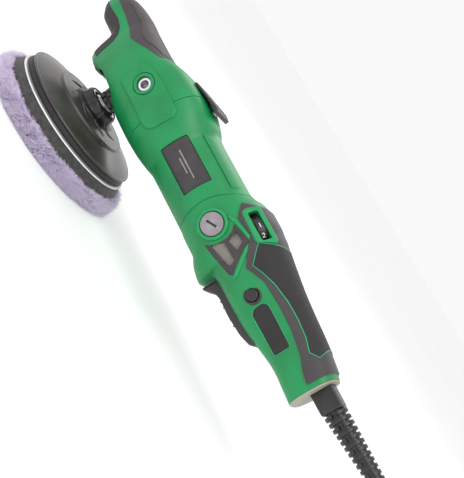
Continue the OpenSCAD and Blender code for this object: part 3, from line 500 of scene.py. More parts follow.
def cut(obj: bpy.types.Object, tools: list[Solid], smooth_deg: float = 32.0) -> None:
    """Takes solids away from an object and leaves no modifier behind.

    Args:
        obj: The object, a closed mesh.
        tools: Solids in millimetres that are taken away.
        smooth_deg: Edges sharper than this stay sharp.
    """
    cutters = []
    for k, tool in enumerate(tools):
        mesh = bpy.data.meshes.new(f"{obj.name}_cutter_{k}")
        mesh.from_pydata((tool.points * MM).tolist(), [], tool.faces)
        tidy_mesh(mesh)
        cutter = bpy.data.objects.new(mesh.name, mesh)
        bpy.context.scene.collection.objects.link(cutter)
        cutters.append(cutter)
        modifier = obj.modifiers.new("cut", "BOOLEAN")
        modifier.operation, modifier.solver, modifier.object = "DIFFERENCE", "EXACT", cutter
    graph = bpy.context.evaluated_depsgraph_get()
    result = bpy.data.meshes.new_from_object(obj.evaluated_get(graph), depsgraph=graph)
    obj.modifiers.clear()
    obj.data = result
    for cutter in cutters:
        bpy.data.objects.remove(cutter)
    tidy_mesh(result)
    result.shade_smooth()
    result.set_sharp_from_angle(angle=math.radians(smooth_deg))


# ---------------------------------------------------------------- finishes


class Relief(Enum):
    """Small-scale pattern that a finish's making leaves on its surface."""

    MOULDED = "spark-eroded mould grain"
    CHEQUERED = "squares pressed into rubber"
    CELLS = "cut open foam"
    WEAVE = "looped or plain woven yarn"
    FIBRE = "tufted strands"
    BRUSHED = "fine turning or grinding lines"
    CAST = "sand-blasted casting skin"
    WOUND = "close wire turns"


def add_node(tree: bpy.types.NodeTree, kind: str, values: dict | None = None, choices: dict | None = None,
             links: dict | None = None) -> bpy.types.Node:
    """Adds one node with its settings and links.

    Args:
        tree: The material's tree.
        kind: Blender's name of the node.
        values: Input name or number to constant value.
        choices: Property name to value.
        links: Input name or number to the output socket that feeds it.

    Returns:
        The new node.
    """
    node = tree.nodes.new(kind)
    for key, value in (choices or {}).items():
        setattr(node, key, value)
    for key, value in (values or {}).items():
        node.inputs[key].default_value = value
    for key, socket in (links or {}).items():
        tree.links.new(socket, node.inputs[key])
    return node


@dataclass(frozen=True)
class Finish:
    """What a surface is made of and how it was made, as the eye meets it."""

    name: str
    colour: str
    shade: str
    roughness: float
    relief: Relief = Relief.MOULDED
    pitch_mm: float = 0.5
    depth_mm: float = 0.02
    strength: float = 0.5
    mottle_mm: float = 25.0
    metallic: float = 0.0
    ior: float = 1.5
    sheen: float = 0.0
    coat: float = 0.0
    # Lighter colour mixed onto convex edges: a painted highlight
    edge_highlight: str = ""

    def material(self) -> bpy.types.Material:
        """The finish's node material, made once and then reused."""
        known = bpy.data.materials.get(self.name)
        if known is not None:
            return known
        made = bpy.data.materials.new(self.name)
        made.use_nodes = True
        tree = made.node_tree
        tree.nodes.clear()
        where = add_node(tree, "ShaderNodeTexCoord").outputs["Object"]
        mottle = add_node(tree, "ShaderNodeTexNoise", {"Scale": 1 / (self.mottle_mm * MM), "Detail": 4.0},
                          links={"Vector": where}).outputs["Fac"]
        colour = self.colour_from(tree, mottle)
        height = self.height_from(tree, where)
        bump = add_node(tree, "ShaderNodeBump", {"Strength": self.strength, "Distance": self.depth_mm * MM},
                        links={"Height": height}).outputs["Normal"]
        rough = add_node(tree, "ShaderNodeMapRange",
                         {"From Min": 0.3, "From Max": 0.7, "To Min": self.roughness * 0.88,
                          "To Max": min(1.0, self.roughness * 1.14)}, links={"Value": mottle}).outputs["Result"]
        shader = add_node(tree, "ShaderNodeBsdfPrincipled",
                          {"Metallic": self.metallic, "Sheen Weight": self.sheen, "Sheen Roughness": 0.5,
                           "Coat Weight": self.coat, "Coat Roughness": 0.2},
                          links={"Base Color": colour, "Roughness": rough, "Normal": bump})
        if self.metallic < 0.5:
            shader.inputs["IOR"].default_value = self.ior
        add_node(tree, "ShaderNodeOutputMaterial", links={"Surface": shader.outputs["BSDF"]})
        return made

    def colour_from(self, tree: bpy.types.NodeTree, mottle: bpy.types.NodeSocket) -> bpy.types.NodeSocket:
        """Colour that drifts between the finish's two colours, and lighter on its convex edges as a painted highlight.

        Args:
            tree: The material's tree.
            mottle: Slow noise over the surface.

        Returns:
            The colour socket.
        """
        source = mottle
        # Tufts read their colour from an attribute: each tuft's own random tone, plus painted shade at the roots and a
        # painted highlight at the tips
        if self.relief is Relief.FIBRE:
            source = add_node(tree, "ShaderNodeAttribute", choices={"attribute_name": "tone_and_painted_light"}).outputs["Fac"]
        ramp = add_node(tree, "ShaderNodeValToRGB", links={"Fac": source})
        low, high = (0.0, 1.0) if self.relief is Relief.FIBRE else (0.36, 0.6)
        ramp.color_ramp.elements[0].position, ramp.color_ramp.elements[1].position = low, high
        ramp.color_ramp.elements[0].color = linear(self.shade)
        ramp.color_ramp.elements[1].color = linear(self.colour)
        if not self.edge_highlight:
            return ramp.outputs["Color"]
        # Convex edges, found by pointiness, are mixed towards the lighter colour: a painted highlight
        edge = add_node(tree, "ShaderNodeNewGeometry").outputs["Pointiness"]
        share = add_node(tree, "ShaderNodeMapRange",
                         {"From Min": 0.515, "From Max": 0.6, "To Min": 0.0, "To Max": 0.55},
                         links={"Value": edge}).outputs["Result"]
        edge_lit = add_node(tree, "ShaderNodeMix", {7: linear(self.edge_highlight)}, {"data_type": "RGBA"},
                         {0: share, 6: ramp.outputs["Color"]})
        return edge_lit.outputs[2]

    def height_from(self, tree: bpy.types.NodeTree, where: bpy.types.NodeSocket) -> bpy.types.NodeSocket:
        """Height of the finish's small-scale pattern.

        Args:
            tree: The material's tree.
            where: Object coordinates.

        Returns:
            A socket from 0, low, to 1, high.
        """
        scale = 1 / (self.pitch_mm * MM)
        if self.relief in (Relief.CHEQUERED, Relief.WEAVE):
            # A wave texture repeats 20 / (2 pi) times its scale in each unit
            bands = scale * 2 * math.pi / 20
            waves = [add_node(tree, "ShaderNodeTexWave", {"Scale": bands}, {"bands_direction": way},
                              {"Vector": where}).outputs["Fac"] for way in ("X", "Z")]
            joined = add_node(tree, "ShaderNodeMath", choices={"operation": "MULTIPLY"},
                              links={0: waves[0], 1: waves[1]})
            return joined.outputs["Value"]
        if self.relief is Relief.CELLS:
            cells = add_node(tree, "ShaderNodeTexVoronoi", {"Scale": scale}, links={"Vector": where})
            return cells.outputs["Distance"]
        if self.relief is Relief.WOUND:
            return add_node(tree, "ShaderNodeTexWave", {"Scale": scale * 2 * math.pi / 20},
                            links={"Vector": where}).outputs["Fac"]
        stretch = {Relief.BRUSHED: (0.08, 1.0, 1.0), Relief.FIBRE: (1.0, 1.0, 0.4)}.get(self.relief)
        if stretch:
            where = add_node(tree, "ShaderNodeMapping", {"Scale": stretch}, links={"Vector": where}).outputs["Vector"]
        detail = 6.0 if self.relief is Relief.CAST else 2.0
        return add_node(tree, "ShaderNodeTexNoise", {"Scale": scale, "Detail": detail},
                        links={"Vector": where}).outputs["Fac"]


# Moulded ABS: a satin green with a fine spark-eroded grain, a touch lighter on its edges as a painted highlight
GREEN = Finish("satin_green_abs", "#008A4B", "#007E42", 0.44, pitch_mm=0.45, depth_mm=0.012, edge_highlight="#17A062")
# The same ABS in a smoother mould, coloured lighter as a painted highlight on the dial's bezel, the stripes and the
# brush rings, and lighter still on its edges
HIGHLIGHT_GREEN = Finish("smooth_green_abs", "#009653", "#008B4A", 0.36, pitch_mm=0.8, depth_mm=0.006, edge_highlight="#2FB077")
# Thermoplastic rubber moulded over the shells: dull warm grey with a soft sheen, lighter on its edges as a painted
# highlight
RUBBER = Finish("overmoulded_rubber", "#423C3F", "#383337", 0.62, pitch_mm=0.35, depth_mm=0.03, sheen=0.08,
                edge_highlight="#6B6468")
# A darker copy of the same rubber for the nose's underside: painted shade. Its edges too are lighter as a painted
# highlight
SHADED_RUBBER = Finish("overmoulded_rubber_painted_shade", "#2F2B2D", "#262324", 0.66, pitch_mm=0.35, depth_mm=0.03, sheen=0.05,
                     edge_highlight="#4F4A4C")
# Rubber with pressed squares. The real squares are about 0.8 mm; they are drawn at 1.6 mm to show
GRIP_RUBBER = Finish("chequered_rubber", "#4A4444", "#3E393B", 0.7, Relief.CHEQUERED, 1.6, 0.14, 0.8, sheen=0.06)
DARK_GRIP = Finish("dark_chequered_rubber", "#2B2829", "#211F20", 0.72, Relief.CHEQUERED, 1.6, 0.2, 0.9)
# Glass-filled nylon: the plate's warm dark grey, drifting in slow patches, and lighter on its rim and edges as a
# painted highlight
PLATE_NYLON = Finish("plate_nylon", "#3F3A37", "#2E2A28", 0.34, pitch_mm=1.6, depth_mm=0.02, mottle_mm=18,
                     edge_highlight="#6E6862", coat=0.25)
# Black and dark grey nylon, each lighter on its edges as a painted highlight
BLACK_NYLON = Finish("black_nylon", "#1E1C1D", "#151414", 0.4, pitch_mm=0.6, depth_mm=0.02, edge_highlight="#57534F", coat=0.1)
DARK_NYLON = Finish("dark_nylon", "#393436", "#2D292B", 0.45, pitch_mm=0.5, depth_mm=0.02, edge_highlight="#6A6467")
# Thermoset moulding of the brush caps: matt grey with a faint violet cast, lighter on its edges as a painted highlight
CAP_THERMOSET = Finish("grey_thermoset", "#948B91", "#867E84", 0.55, pitch_mm=0.5, depth_mm=0.015, edge_highlight="#C4BCC0")
# Woven steel wire of the air grilles
GRILLE_WIRE = Finish("grille_wire", "#ACA89D", "#8F8B82", 0.42, Relief.BRUSHED, 0.3, 0.01, metallic=0.75)
CAST_ALUMINIUM = Finish("cast_aluminium", "#BDB9BB", "#A5A1A3", 0.42, Relief.CAST, 0.9, 0.05, metallic=1.0)
GROUND_STEEL = Finish("ground_steel", "#B9B9BD", "#A4A4A8", 0.28, Relief.BRUSHED, 0.25, 0.008, metallic=1.0)
NICKEL = Finish("nickel_plate", "#DADADD", "#C7C7CB", 0.16, Relief.BRUSHED, 0.4, 0.004, metallic=1.0)
OXIDE_BLACK = Finish("oxide_black_steel", "#6E6E73", "#5C5C61", 0.4, Relief.BRUSHED, 0.4, 0.01, metallic=0.9)
LAMINATIONS = Finish("stacked_laminations", "#75706D", "#5F5B58", 0.45, Relief.WOUND, 0.9, 0.04, metallic=0.9)
ENAMEL_WIRE = Finish("enamelled_winding", "#B8693A", "#93481F", 0.3, Relief.WOUND, 1.1, 0.2, 0.8, metallic=0.6)
COPPER = Finish("turned_copper", "#C58251", "#AE6A3C", 0.3, Relief.BRUSHED, 0.3, 0.01, metallic=1.0)
BRASS = Finish("pressed_brass", "#BC9A4B", "#A4823A", 0.32, Relief.BRUSHED, 0.4, 0.01, metallic=1.0)
CARBON = Finish("pressed_carbon", "#323234", "#262628", 0.6, pitch_mm=0.3, depth_mm=0.03)
BOARD = Finish("printed_board", "#216643", "#194F33", 0.3, pitch_mm=1.2, depth_mm=0.01, coat=0.4)
# Wool pile: lilac, darker at the roots as painted shade between the tufts and nearly white at the tips as a painted
# highlight
WOOL = Finish("tufted_wool", "#F2E9F9", "#C1A7DE", 0.9, Relief.FIBRE, 0.5, 0.1, 0.3, sheen=0.3)
WOOL_FELT = Finish("wool_backing", "#D6C2EA", "#BCA2DA", 0.92, Relief.CELLS, 1.4, 0.4, 0.7, mottle_mm=7, sheen=0.3)
# Open foam. Its cells are about 0.5 mm; they are drawn at 0.9 mm to show
FOAM = Finish("open_cell_foam", "#4A4747", "#343131", 0.9, Relief.CELLS, 0.9, 0.3, 0.9, mottle_mm=4, sheen=0.15)
BLACK_FOAM = Finish("skinned_foam", "#232122", "#161515", 0.6, Relief.CELLS, 1.2, 0.1, 0.5, mottle_mm=8)
LOOP_CLOTH = Finish("brushed_loop_cloth", "#F4F4F4", "#DADADA", 0.9, Relief.WEAVE, 0.9, 0.1, 0.6, sheen=0.2)
HOOK_TAPE = Finish("hook_tape", "#2C2A2A", "#1F1D1D", 0.7, Relief.CHEQUERED, 1.3, 0.2, 0.8)
CORD_RUBBER = Finish("cord_rubber", "#232122", "#1A1819", 0.48, pitch_mm=0.7, depth_mm=0.02, sheen=0.05)
WHITE_INK = Finish("white_ink", "#F2F2F0", "#DDDDDB", 0.5, pitch_mm=0.4, depth_mm=0.004)
LABEL = Finish("screen_printed_label", "#3D393B", "#353133", 0.5, pitch_mm=0.35, depth_mm=0.01, mottle_mm=10)
GREEN_INK = Finish("green_piping", "#1FA56E", "#178F5E", 0.45, pitch_mm=0.4, depth_mm=0.006)
# Pale beige on the tail's end face: a painted highlight
TAIL_PAINTED_HIGHLIGHT = Finish("tail_end_painted_highlight", "#A9A597", "#959183", 0.55, pitch_mm=0.5, depth_mm=0.02)


# ---------------------------------------------------------------- the frame's places


@dataclass(frozen=True)
class Places:
    """Where the frame puts what the looks are built round, in millimetres."""

    axis: float
    pad_y: float
    dial: tuple[float, float, float]
    dial_axis: tuple[float, float, float]
    wool_r: float
    wool_top: float
    foam_r: float
    foam_top: float
    plate_r: float
    cushion_z: tuple[float, float]
    plate_top: float
    hub_top: float
    collar_z: tuple[float, float]
    head_x: float
    rear_x: float
    tail_x: float
    nose_x: float
    insert: tuple[float, float]
    brush: tuple[float, float]
    button: tuple[float, float, float]
    relief_x: float


def read_places(frame: dict) -> Places:
    """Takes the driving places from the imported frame.


    Returns:
        The places in millimetres.
    """
    joints = {j["name"]: j for j in frame["joints"]}

    def low(node: str) -> Vector:
        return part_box(node)[0] / MM

    def high(node: str) -> Vector:
        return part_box(node)[1] / MM

    def middle(node: str) -> Vector:
        return (low(node) + high(node)) / 2

    dial = joints["speed_dial_turn"]
    return Places(
        axis=joints["motor_spin"]["pos_m"][2] / MM,
        pad_y=joints["pad_spin"]["pos_m"][1] / MM,
        dial=tuple(v / MM for v in dial["pos_m"]),
        dial_axis=tuple(dial["axis"]),
        wool_r=(high("wool_pad").x - low("wool_pad").x) / 2,
        wool_top=high("wool_pad").z,
        foam_r=(high("pad_foam").x - low("pad_foam").x) / 2,
        foam_top=high("pad_foam").z,
        plate_r=(high("backing_plate").x - low("backing_plate").x) / 2,
        cushion_z=(low("plate_cushion").z, high("plate_cushion").z),
        plate_top=high("backing_plate").z,
        hub_top=high("pad_hub").z,
        collar_z=(low("spindle_collar").z, high("spindle_collar").z),
        head_x=high("head_cover_left").x,
        rear_x=low("rear_housing_left").x,
        tail_x=high("rear_housing_left").x + 2.0,
        nose_x=low("nose_grip_upper").x,
        insert=(middle("side_inserts").x, middle("side_inserts").z),
        brush=(middle("brush_caps").x, middle("brush_caps").z),
        button=(middle("lock_on_button").x, low("lock_on_button").y, middle("lock_on_button").z),
        relief_x=low("strain_relief").x + 11.0,
    )


# ---------------------------------------------------------------- the casing's outline


@dataclass(frozen=True)
class Outline:
    """Outline of the casing: rounded squares at stations along X.

    A station holds x, the lowest and highest z from the axis, half the width, and how square it is. The
    point of a section at angle a is half the width times the 2/n power of cos a, and half the height
    times the 2/n power of sin a, with their signs kept.
    """

    axis: float
    stations: np.ndarray

    def at(self, x: np.ndarray) -> tuple[np.ndarray, ...]:
        """Lowest, highest, half width and squareness at each x."""
        return tuple(monotone(x, self.stations[:, 0], self.stations[:, k]) for k in range(1, 5))

    def ring(self, x: np.ndarray, a: np.ndarray, g: np.ndarray | float) -> np.ndarray:
        """Points at angle a of the sections at x, g above the surface."""
        low, high, half_y, n = self.at(x)
        c, s = np.cos(a), np.sin(a)
        y = (half_y + g) * np.sign(c) * np.abs(c) ** (2 / n)
        z = (low + high) / 2 + ((high - low) / 2 + g) * np.sign(s) * np.abs(s) ** (2 / n)
        return np.stack([x, y, self.axis + z], -1)

    def left(self, x: np.ndarray, z: np.ndarray, g: np.ndarray | float) -> np.ndarray:
        """Points of the left side at x and z, g above the surface."""
        low, high, half_y, n = self.at(x)
        share = np.clip(np.abs(z - (low + high) / 2) / ((high - low) / 2), 0, 0.999)
        return np.stack([x, -(half_y * (1 - share**n) ** (1 / n) + g), self.axis + z], -1)

    def angle(self, x: np.ndarray, z: np.ndarray) -> np.ndarray:
        """Angle on the left side where the section at x reaches the height z."""
        low, high, _, n = self.at(x)
        share = np.clip((z - (low + high) / 2) / ((high - low) / 2), -1, 1)
        return np.pi - np.arcsin(np.sign(share) * np.abs(share) ** (n / 2))


def casing_outline(p: Places) -> Outline:
    """Stations of the whole casing from the tip of the nose to the tail."""
    nose, tail = p.nose_x, p.tail_x
    rows = [
        (nose - 0.6, 9.6, 10.4, 0.6, 2.2), (nose, 6, 14.6, 6.5, 2.2), (nose + 3, 1.5, 18.5, 13, 2.3),
        (nose + 8, -2.5, 22, 16.5, 2.4), (nose + 14, -5, 25.5, 19, 2.5), (nose + 25, -5, 27, 20.5, 2.6),
        (-43, -6, 27.3, 21, 2.6), (-38, -13, 27, 21.5, 2.8), (-34.5, -29.3, 26.5, 22.5, 3.2),
        (-27, -29.8, 26, 25.5, 3.5), (-14, -29.8, 25.6, 29.5, 3.6), (2, -29.8, 26.2, 32.4, 3.6),
        (12, -30, 30.4, 33, 3.5), (28, -32, 34.8, 33.6, 3.4), (50, -32.6, 36.3, 34, 3.0),
        (58, -32.6, 36, 34, 2.6), (66, -32, 34.6, 33.3, 2.3), (73, -31, 33, 31.6, 2.1), (81, -29.6, 30, 29.8, 2),
        (92, -29.5, 29.5, 29.5, 2), (130, -29.5, 29.5, 29.5, 2), (139, -30, 31.5, 30.3, 2.1),
        (146, -29.8, 35, 31, 2.3), (154, -29.5, 36.3, 31.3, 2.5), (165, -33.5, 36.3, 31, 2.5),
        (174.6, -35, 35.2, 29.5, 2.5), (177, -22.3, 35, 29.2, 2.5), (188, -21.5, 33, 26, 2.5),
        (204, -21.5, 30.6, 22.5, 2.5), (220, -21, 28.4, 20.4, 2.5), (237, -18.5, 26.8, 19.5, 2.5),
        (tail - 26, -15.8, 25, 19.5, 2.5), (tail - 10, -16.5, 22.8, 20.4, 2.6), (tail, -17, 21, 21, 2.7),
    ]
    return Outline(p.axis, np.array(rows, float))


def stations_between(start: float, end: float, step: float, steep: tuple = ()) -> np.ndarray:
    """Places along X a step apart, and closer together where the outline is steep."""
    extra = [np.linspace(s - 3.5, s + 3.5, 25) for s in steep if start < s < end]
    every = np.concatenate([np.arange(start, end, step), [end], *extra])
    return np.unique(np.round(every[(every >= start) & (every <= end)], 3))


STEEP = (-36.5, 175.8)


# ---------------------------------------------------------------- casing


@dataclass
class Casing:
    """Green shells, rubber grips, panels and grilles of the body."""

    places: Places
    outline: Outline = field(init=False)
    wall: float = 2.5
    rim: float = 0.45
    boss_r: float = 8.6
    recess_r: float = 6.1
    cap_r: float = 8.8
    ring_r: float = 12.2
    grip_proud: float = 0.35
    strip_end: float = -21.5
    nose_top: tuple = ((-82, 14.5), (-60, 15.5), (-46, 14.5), (-32, 12.5), (-22, 10.5), (-16, 12.5), (-8, 16.5),
                       (6, 23.5), (8, 24.2))
    nose_low: tuple = ((-82, 6.5), (-61, 7.5), (-47, 8.5), (-39, 6.5), (-33, 2.5), (-29.6, -2.5), (-28.2, -13),
                       (-27.6, -34))
    saddle_line: tuple = ((144, 25), (146, 23.5), (155, 17.8), (169, 19.7), (189, 5.4), (194, 8), (203, 11.6),
                          (222, 12.4), (242, 11.8), (261, 8.8), (271, 5), (280, 3.6))
    inset_line: tuple = ((178, 21.6), (190, 10.5), (197, 13.5), (208, 16.6), (223, 18.4), (237, 18.5), (251, 17.4),
                         (262, 14.8), (267.5, 18.4))
    vent_line: tuple = ((157, 14), (173, 17.5), (188.3, -6), (185.6, -8.3), (158.5, -13), (162, -8.5),
                        (163.8, -2.5), (163.8, 4.5), (161.5, 10))
    u_line: tuple = ((218, 6.5), (252, 6.0), (252, -7.6), (219, -8), (215.5, -5), (215, 3))

    def __post_init__(self) -> None:
        """Makes the outline that every piece of the casing follows."""
        self.outline = casing_outline(self.places)

    def build(self) -> None:
        """Builds every piece of the casing."""
        self.head()
        self.nose_grips()
        self.motor()
        self.rear()
        self.saddle()
        self.vents()
        self.brush_caps()
        self.insets()
        self.labels()

    def shell(self, xs: np.ndarray, side: int, start: Callable | None = None) -> Solid:
        """Half of a shell, from the top seam to the bottom one.

        Args:
            xs: Places along X.
            side: -1 for the left half, 1 for the right half.
            start: Place where it starts at each angle, when not at the first of xs.

        Returns:
            The half shell.
        """
        even, share = np.linspace(0, 1, len(xs)), (xs - xs[0]) / (xs[-1] - xs[0])

        def surface(u: np.ndarray, v: np.ndarray, g: np.ndarray) -> np.ndarray:
            a = np.pi / 2 + v * np.pi * (1 if side < 0 else -1)
            first = xs[0] if start is None else start(a)
            return self.outline.ring(first + np.interp(u, even, share) * (xs[-1] - first), a, g)

        return slab(surface, (len(xs), 72), 0.0, -self.wall, self.rim)

    def on_left(self, x: np.ndarray, z: np.ndarray, g: np.ndarray) -> np.ndarray:
        """Point of the left side, for patches."""
        return self.outline.left(x, z, g)

    def out_left(self, profile: np.ndarray, x: float, z: float, sides: int = 72) -> Solid:
        """Profile of radius and distance from the middle plane, turned to stand out of the left side."""
        basis = np.array([[1, 0, 0], [0, 0, 1], [0, -1, 0]], float)
        return lathed(profile, sides).placed(basis, (x, 0, self.places.axis + z))

    def drill(self, radius: float, x: float, z: float, near: float, far: float) -> Solid:
        """Round cutter into the left side, between two distances from the middle plane."""
        return self.out_left(np.array([[0.0, near], [radius, near], [radius, far], [0.0, far]]), x, z, 64)

    def side_block(self, outline: np.ndarray, near: float, far: float) -> Solid:
        """Straight-edged cutter over an outline on the left side."""
        return across(outline + [0, self.places.axis], -near, -far)

    def head(self) -> None:
        """Head covers with their raised side panels, handle bosses and recesses."""
        p = self.places
        ix, iz = p.insert[0], p.insert[1] - p.axis
        xs = stations_between(p.nose_x - 0.55, p.head_x - 0.12, 1.6, STEEP)
        corners = [(7, 10.5), (13, 14.5), (22, 17.4), (33, 18), (57, 17), (61, 13.5), (60.3, -4.5), (56.5, -11.5),
                   (33, -10.6), (9, -10.6)]
        loop, facing = seen_from(rounded(corners, 3.2), (ix, iz), 160)
        hole = np.stack([ix + (self.boss_r + 0.5) * np.cos(facing), iz + (self.boss_r + 0.5) * np.sin(facing)], 1)
        panel = patch(loop, (ix, iz), self.on_left, 1.8, -0.6, 0.9, hole)
        deep = 26.0
        face = -float(self.outline.left(np.array([ix]), np.array([iz]), 1.7)[0, 1])
        boss = rounded([(self.recess_r, face - 4), (self.boss_r, face - 4), (self.boss_r, face), (self.recess_r, face)],
                       0.5)
        cup_r, cup_face = self.recess_r + 0.05, face - 1.6
        cup = np.array([(5.25, deep), (cup_r, deep), (cup_r, cup_face), (5.25, cup_face)])
        arch = self.arch()
        for side, (name, turn) in zip((-1, 1), SIDES.items()):
            shell = make_piece(f"head_shell_{name}", [self.shell(xs, side)], GREEN, "housing",
                               (f"head_cover_{name}",))
            holes = [turn(self.drill(self.recess_r, ix, iz, 20, 50)), arch]
            if side > 0:
                wells = ((-56, 11, 15.5), (38, 27, 22), (37, -25, 21))
                holes += [turn(self.drill(3.15, x, z, depth, 60)) for x, z, depth in wells]
            cut(shell, holes)
            make_piece(f"head_panel_{name}", [turn(panel)], GREEN, "housing")
            make_piece(f"handle_boss_{name}", [turn(self.out_left(boss, ix, iz))], GREEN, "housing")
            recess = turn(self.out_left(cup, ix, iz))
            make_piece(f"handle_recess_{name}", [recess], BLACK_NYLON, "housing")

    def arch(self) -> Solid:
        """Cutter of the arch under the head: a cylinder across the body, carried forwards."""
        z = self.places.axis - 43.5
        rear, front = circle(22.0, 64, (2.0, z)), circle(22.4, 64, (-7.0, z))
        loop = np.vstack([rear[:17], front[16:49], rear[48:]])
        return across(loop, -50.0, 50.0)

    def between_lines(self, xs: tuple[float, float], line: tuple, front: Callable | None = None,
                      low: bool = False, back: Callable | None = None) -> Surface:
        """Surface over the top, or under the bottom, between a line on the left side and its mirror.

        Args:
            xs: First and last place along X.
            line: Points of the line, x and z.
            front: Place where the piece starts, by how far the point is from the middle line.
            low: Whether the surface passes under the body and not over it.
            back: Place where the piece ends, by how far the point is from the middle line.

        Returns:
            The surface of two parameters and a height.
        """
        corners = np.array(line, float)
        middle = 1.5 * np.pi if low else 0.5 * np.pi

        def surface(u: np.ndarray, v: np.ndarray, g: np.ndarray) -> np.ndarray:
            s = 2 * v - 1
            first = xs[0] if front is None else front(np.abs(s))
            last = xs[1] if back is None else back(np.abs(s))
            x = first + u * (last - first)
            edge = self.outline.angle(x, np.interp(x, corners[:, 0], corners[:, 1]))
            reach = np.where(low, middle - edge, edge - middle)
            return self.outline.ring(x, middle + s * reach, g)

        return surface

    def nose_grips(self) -> None:
        """Rubber over the top and under the bottom of the nose, with its chequered thumb panel."""
        nose = self.places.nose_x
        top = slab(self.between_lines((nose - 0.45, 7.4), self.nose_top), (110, 64), self.grip_proud, -0.5, 0.5)
        belly = self.between_lines((nose - 0.45, -27.9), self.nose_low, low=True)
        low = slab(belly, (120, 64), self.grip_proud, -0.5, 0.5)
        line = ((-56, 20.5), (-51, 22.5), (-31, 21.8), (-23, 19.3), (-14, 19.4), (-5, 23.4), (2, 25))
        panel = slab(self.between_lines((-58, 3), line, front=lambda s: -66 + 11 * s**2), (90, 56), 0.85, 0.1, 0.6)
        make_piece("nose_saddle", [top], RUBBER, "housing", ("nose_grip_upper",))
        # The underside takes the darker copy of the rubber as painted shade
        under = make_piece("nose_underside", [low], SHADED_RUBBER, "housing", ("nose_grip_lower",))
        corner = np.array([(-60, -60), (0, -60), (0, self.strip_end), (-60, self.strip_end)], float)
        cut(under, [across(corner + [0, self.places.axis], -50.0, 50.0)])
        make_piece("nose_thumb_panel", [panel], GRIP_RUBBER, "housing")

    def seam_x(self, a: np.ndarray) -> np.ndarray:
        """Curved seam between the motor and rear housings: a parabola of the height."""
        return self.places.rear_x - 1 + 8 * np.sin(a) ** 2 * np.where(np.sin(a) > 0, 1.0, 0.4)

    def motor(self) -> None:
        """Motor housing with its raised top panel."""
        p = self.places
        start, gap = p.head_x + 0.12, 0.14

        def surface(u: np.ndarray, v: np.ndarray, g: np.ndarray) -> np.ndarray:
            a = 2 * np.pi * v
            x = start + u * (self.seam_x(a) - gap - start)
            return self.outline.ring(x, a, g)

        tunnel = slab(surface, (84, 144), 0.0, -self.wall, self.rim, True)
        housing = make_piece("motor_shell", [tunnel], GREEN, "housing", ("motor_housing",))
        drop = rounded([(78, 23.2), (80.5, 26.4), (86, 28.6), (95, 28.9), (112, 28.4), (121, 28.0), (128.6, 27.2),
                        (128.9, 23.0)], 2.2)
        loop = resampled(drop, 120)
        panel = patch(loop, (104, 26), self.on_left, 1.0, -0.5, 0.8)
        tops = [panel, panel.mirrored()]
        make_piece("motor_top_facets", tops, GREEN, "housing")
        plate = self.label_outline(0.5)
        frame = self.side_block(plate, 20, 45)
        cut(housing, [frame, frame.mirrored()])

    def label_outline(self, grown: float) -> np.ndarray:
        """Outline of the blank label on the motor housing, as x and z, made wider by grown."""
        x0, x1, z0, z1 = 76.6 - grown, 117 + grown, -9 - grown, 13.6 + grown
        corners = [(x0, z0), (x1, z0), (x1, z1), (x0, z1)]
        return resampled(rounded(corners, 1.2), 112)

    def labels(self) -> None:
        """Blank labels in the motor housing, with a thin raised border and two plain ink bars."""
        inner = self.label_outline(-1.6)
        plate = patch(self.label_outline(0.0), (97, 2.3), self.on_left, -0.35, -1.8, 0.3, rings=20)
        border = patch(self.label_outline(-0.7), (97, 2.3), self.on_left, -0.15, -0.6, 0.08, inner, 3)
        bars = []
        for z, length in ((3.6, 26.0), (0.8, 14.0)):
            x0, x1, z0, z1 = 97 - length / 2, 97 + length / 2, z - 0.45, z + 0.45
            bar = resampled(rounded([(x0, z0), (x1, z0), (x1, z1), (x0, z1)], 0.4), 60)
            bars.append(patch(bar, (97, z), self.on_left, -0.25, -0.6, 0.05, rings=3))
        for name, turn in SIDES.items():
            replaced = ("name_plates",) if name == "left" else ()
            make_piece(f"label_{name}", [turn(plate)], LABEL, "housing", replaced)
            make_piece(f"label_border_{name}", [turn(border)], DARK_NYLON, "housing")
            make_piece(f"label_bars_{name}", [turn(b) for b in bars], CAP_THERMOSET, "housing")

    def rear(self) -> None:
        """Rear housings with their trigger mouth, and the pale band at the tail's end face, a painted highlight."""
        p = self.places
        xs = stations_between(p.rear_x, p.tail_x - 0.8, 1.7, STEEP)
        mouth = np.array([(176.4, -60), (238, -60), (238, -11.5), (176.4, -11.5)], float)
        half = 8.1
        box = across(mouth + [0, p.axis], -half, half)
        vents = self.side_block(resampled(rounded(self.vent_line, 0.8), 90), 15, 45)
        slot = self.dial_block(12.4, 5.0, -3.0, -20.0)
        button = self.drill(5.2, p.button[0], p.button[2] - p.axis, 10, 45)
        x0, x1 = p.tail_x - 14, p.tail_x + 9
        relief = np.array([(x0, -0.6), (x1, -0.6), (x1, 16.7), (x0, 16.7)], float)
        tail = across(relief + [0, p.axis], -8.6, 8.6)
        for side, (name, turn) in zip((-1, 1), SIDES.items()):
            half_shell = self.shell(xs, side, start=lambda a: self.seam_x(a) + 0.14)
            shell = make_piece(f"rear_shell_{name}", [half_shell], GREEN, "housing",
                               (f"rear_housing_{name}",))
            holes = [box, turn(vents), turn(self.drill(self.cap_r + 0.75, p.brush[0], 1.5, 10, 60)), tail]
            if side < 0:
                holes += [slot, button]
            else:
                seats = ((136, 21.5, 14), (186, 24, 14), (250, 17, 11), (250, -10, 11), (p.tail_x - 18, 15.5, 11))
                holes += [turn(self.drill(3.1, x, z, depth, 60)) for x, z, depth in seats]
            cut(shell, holes)
        # Ring over the tail's end face, coloured pale as a painted highlight
        x0, x1 = p.tail_x - 0.75, p.tail_x + 0.55

        def band(u: np.ndarray, v: np.ndarray, g: np.ndarray) -> np.ndarray:
            x = x0 + u * (x1 - x0)
            return self.outline.ring(np.minimum(x, p.tail_x), 2 * np.pi * v, g) + np.stack(
                [np.maximum(x - p.tail_x, 0), 0 * x, 0 * x], -1)

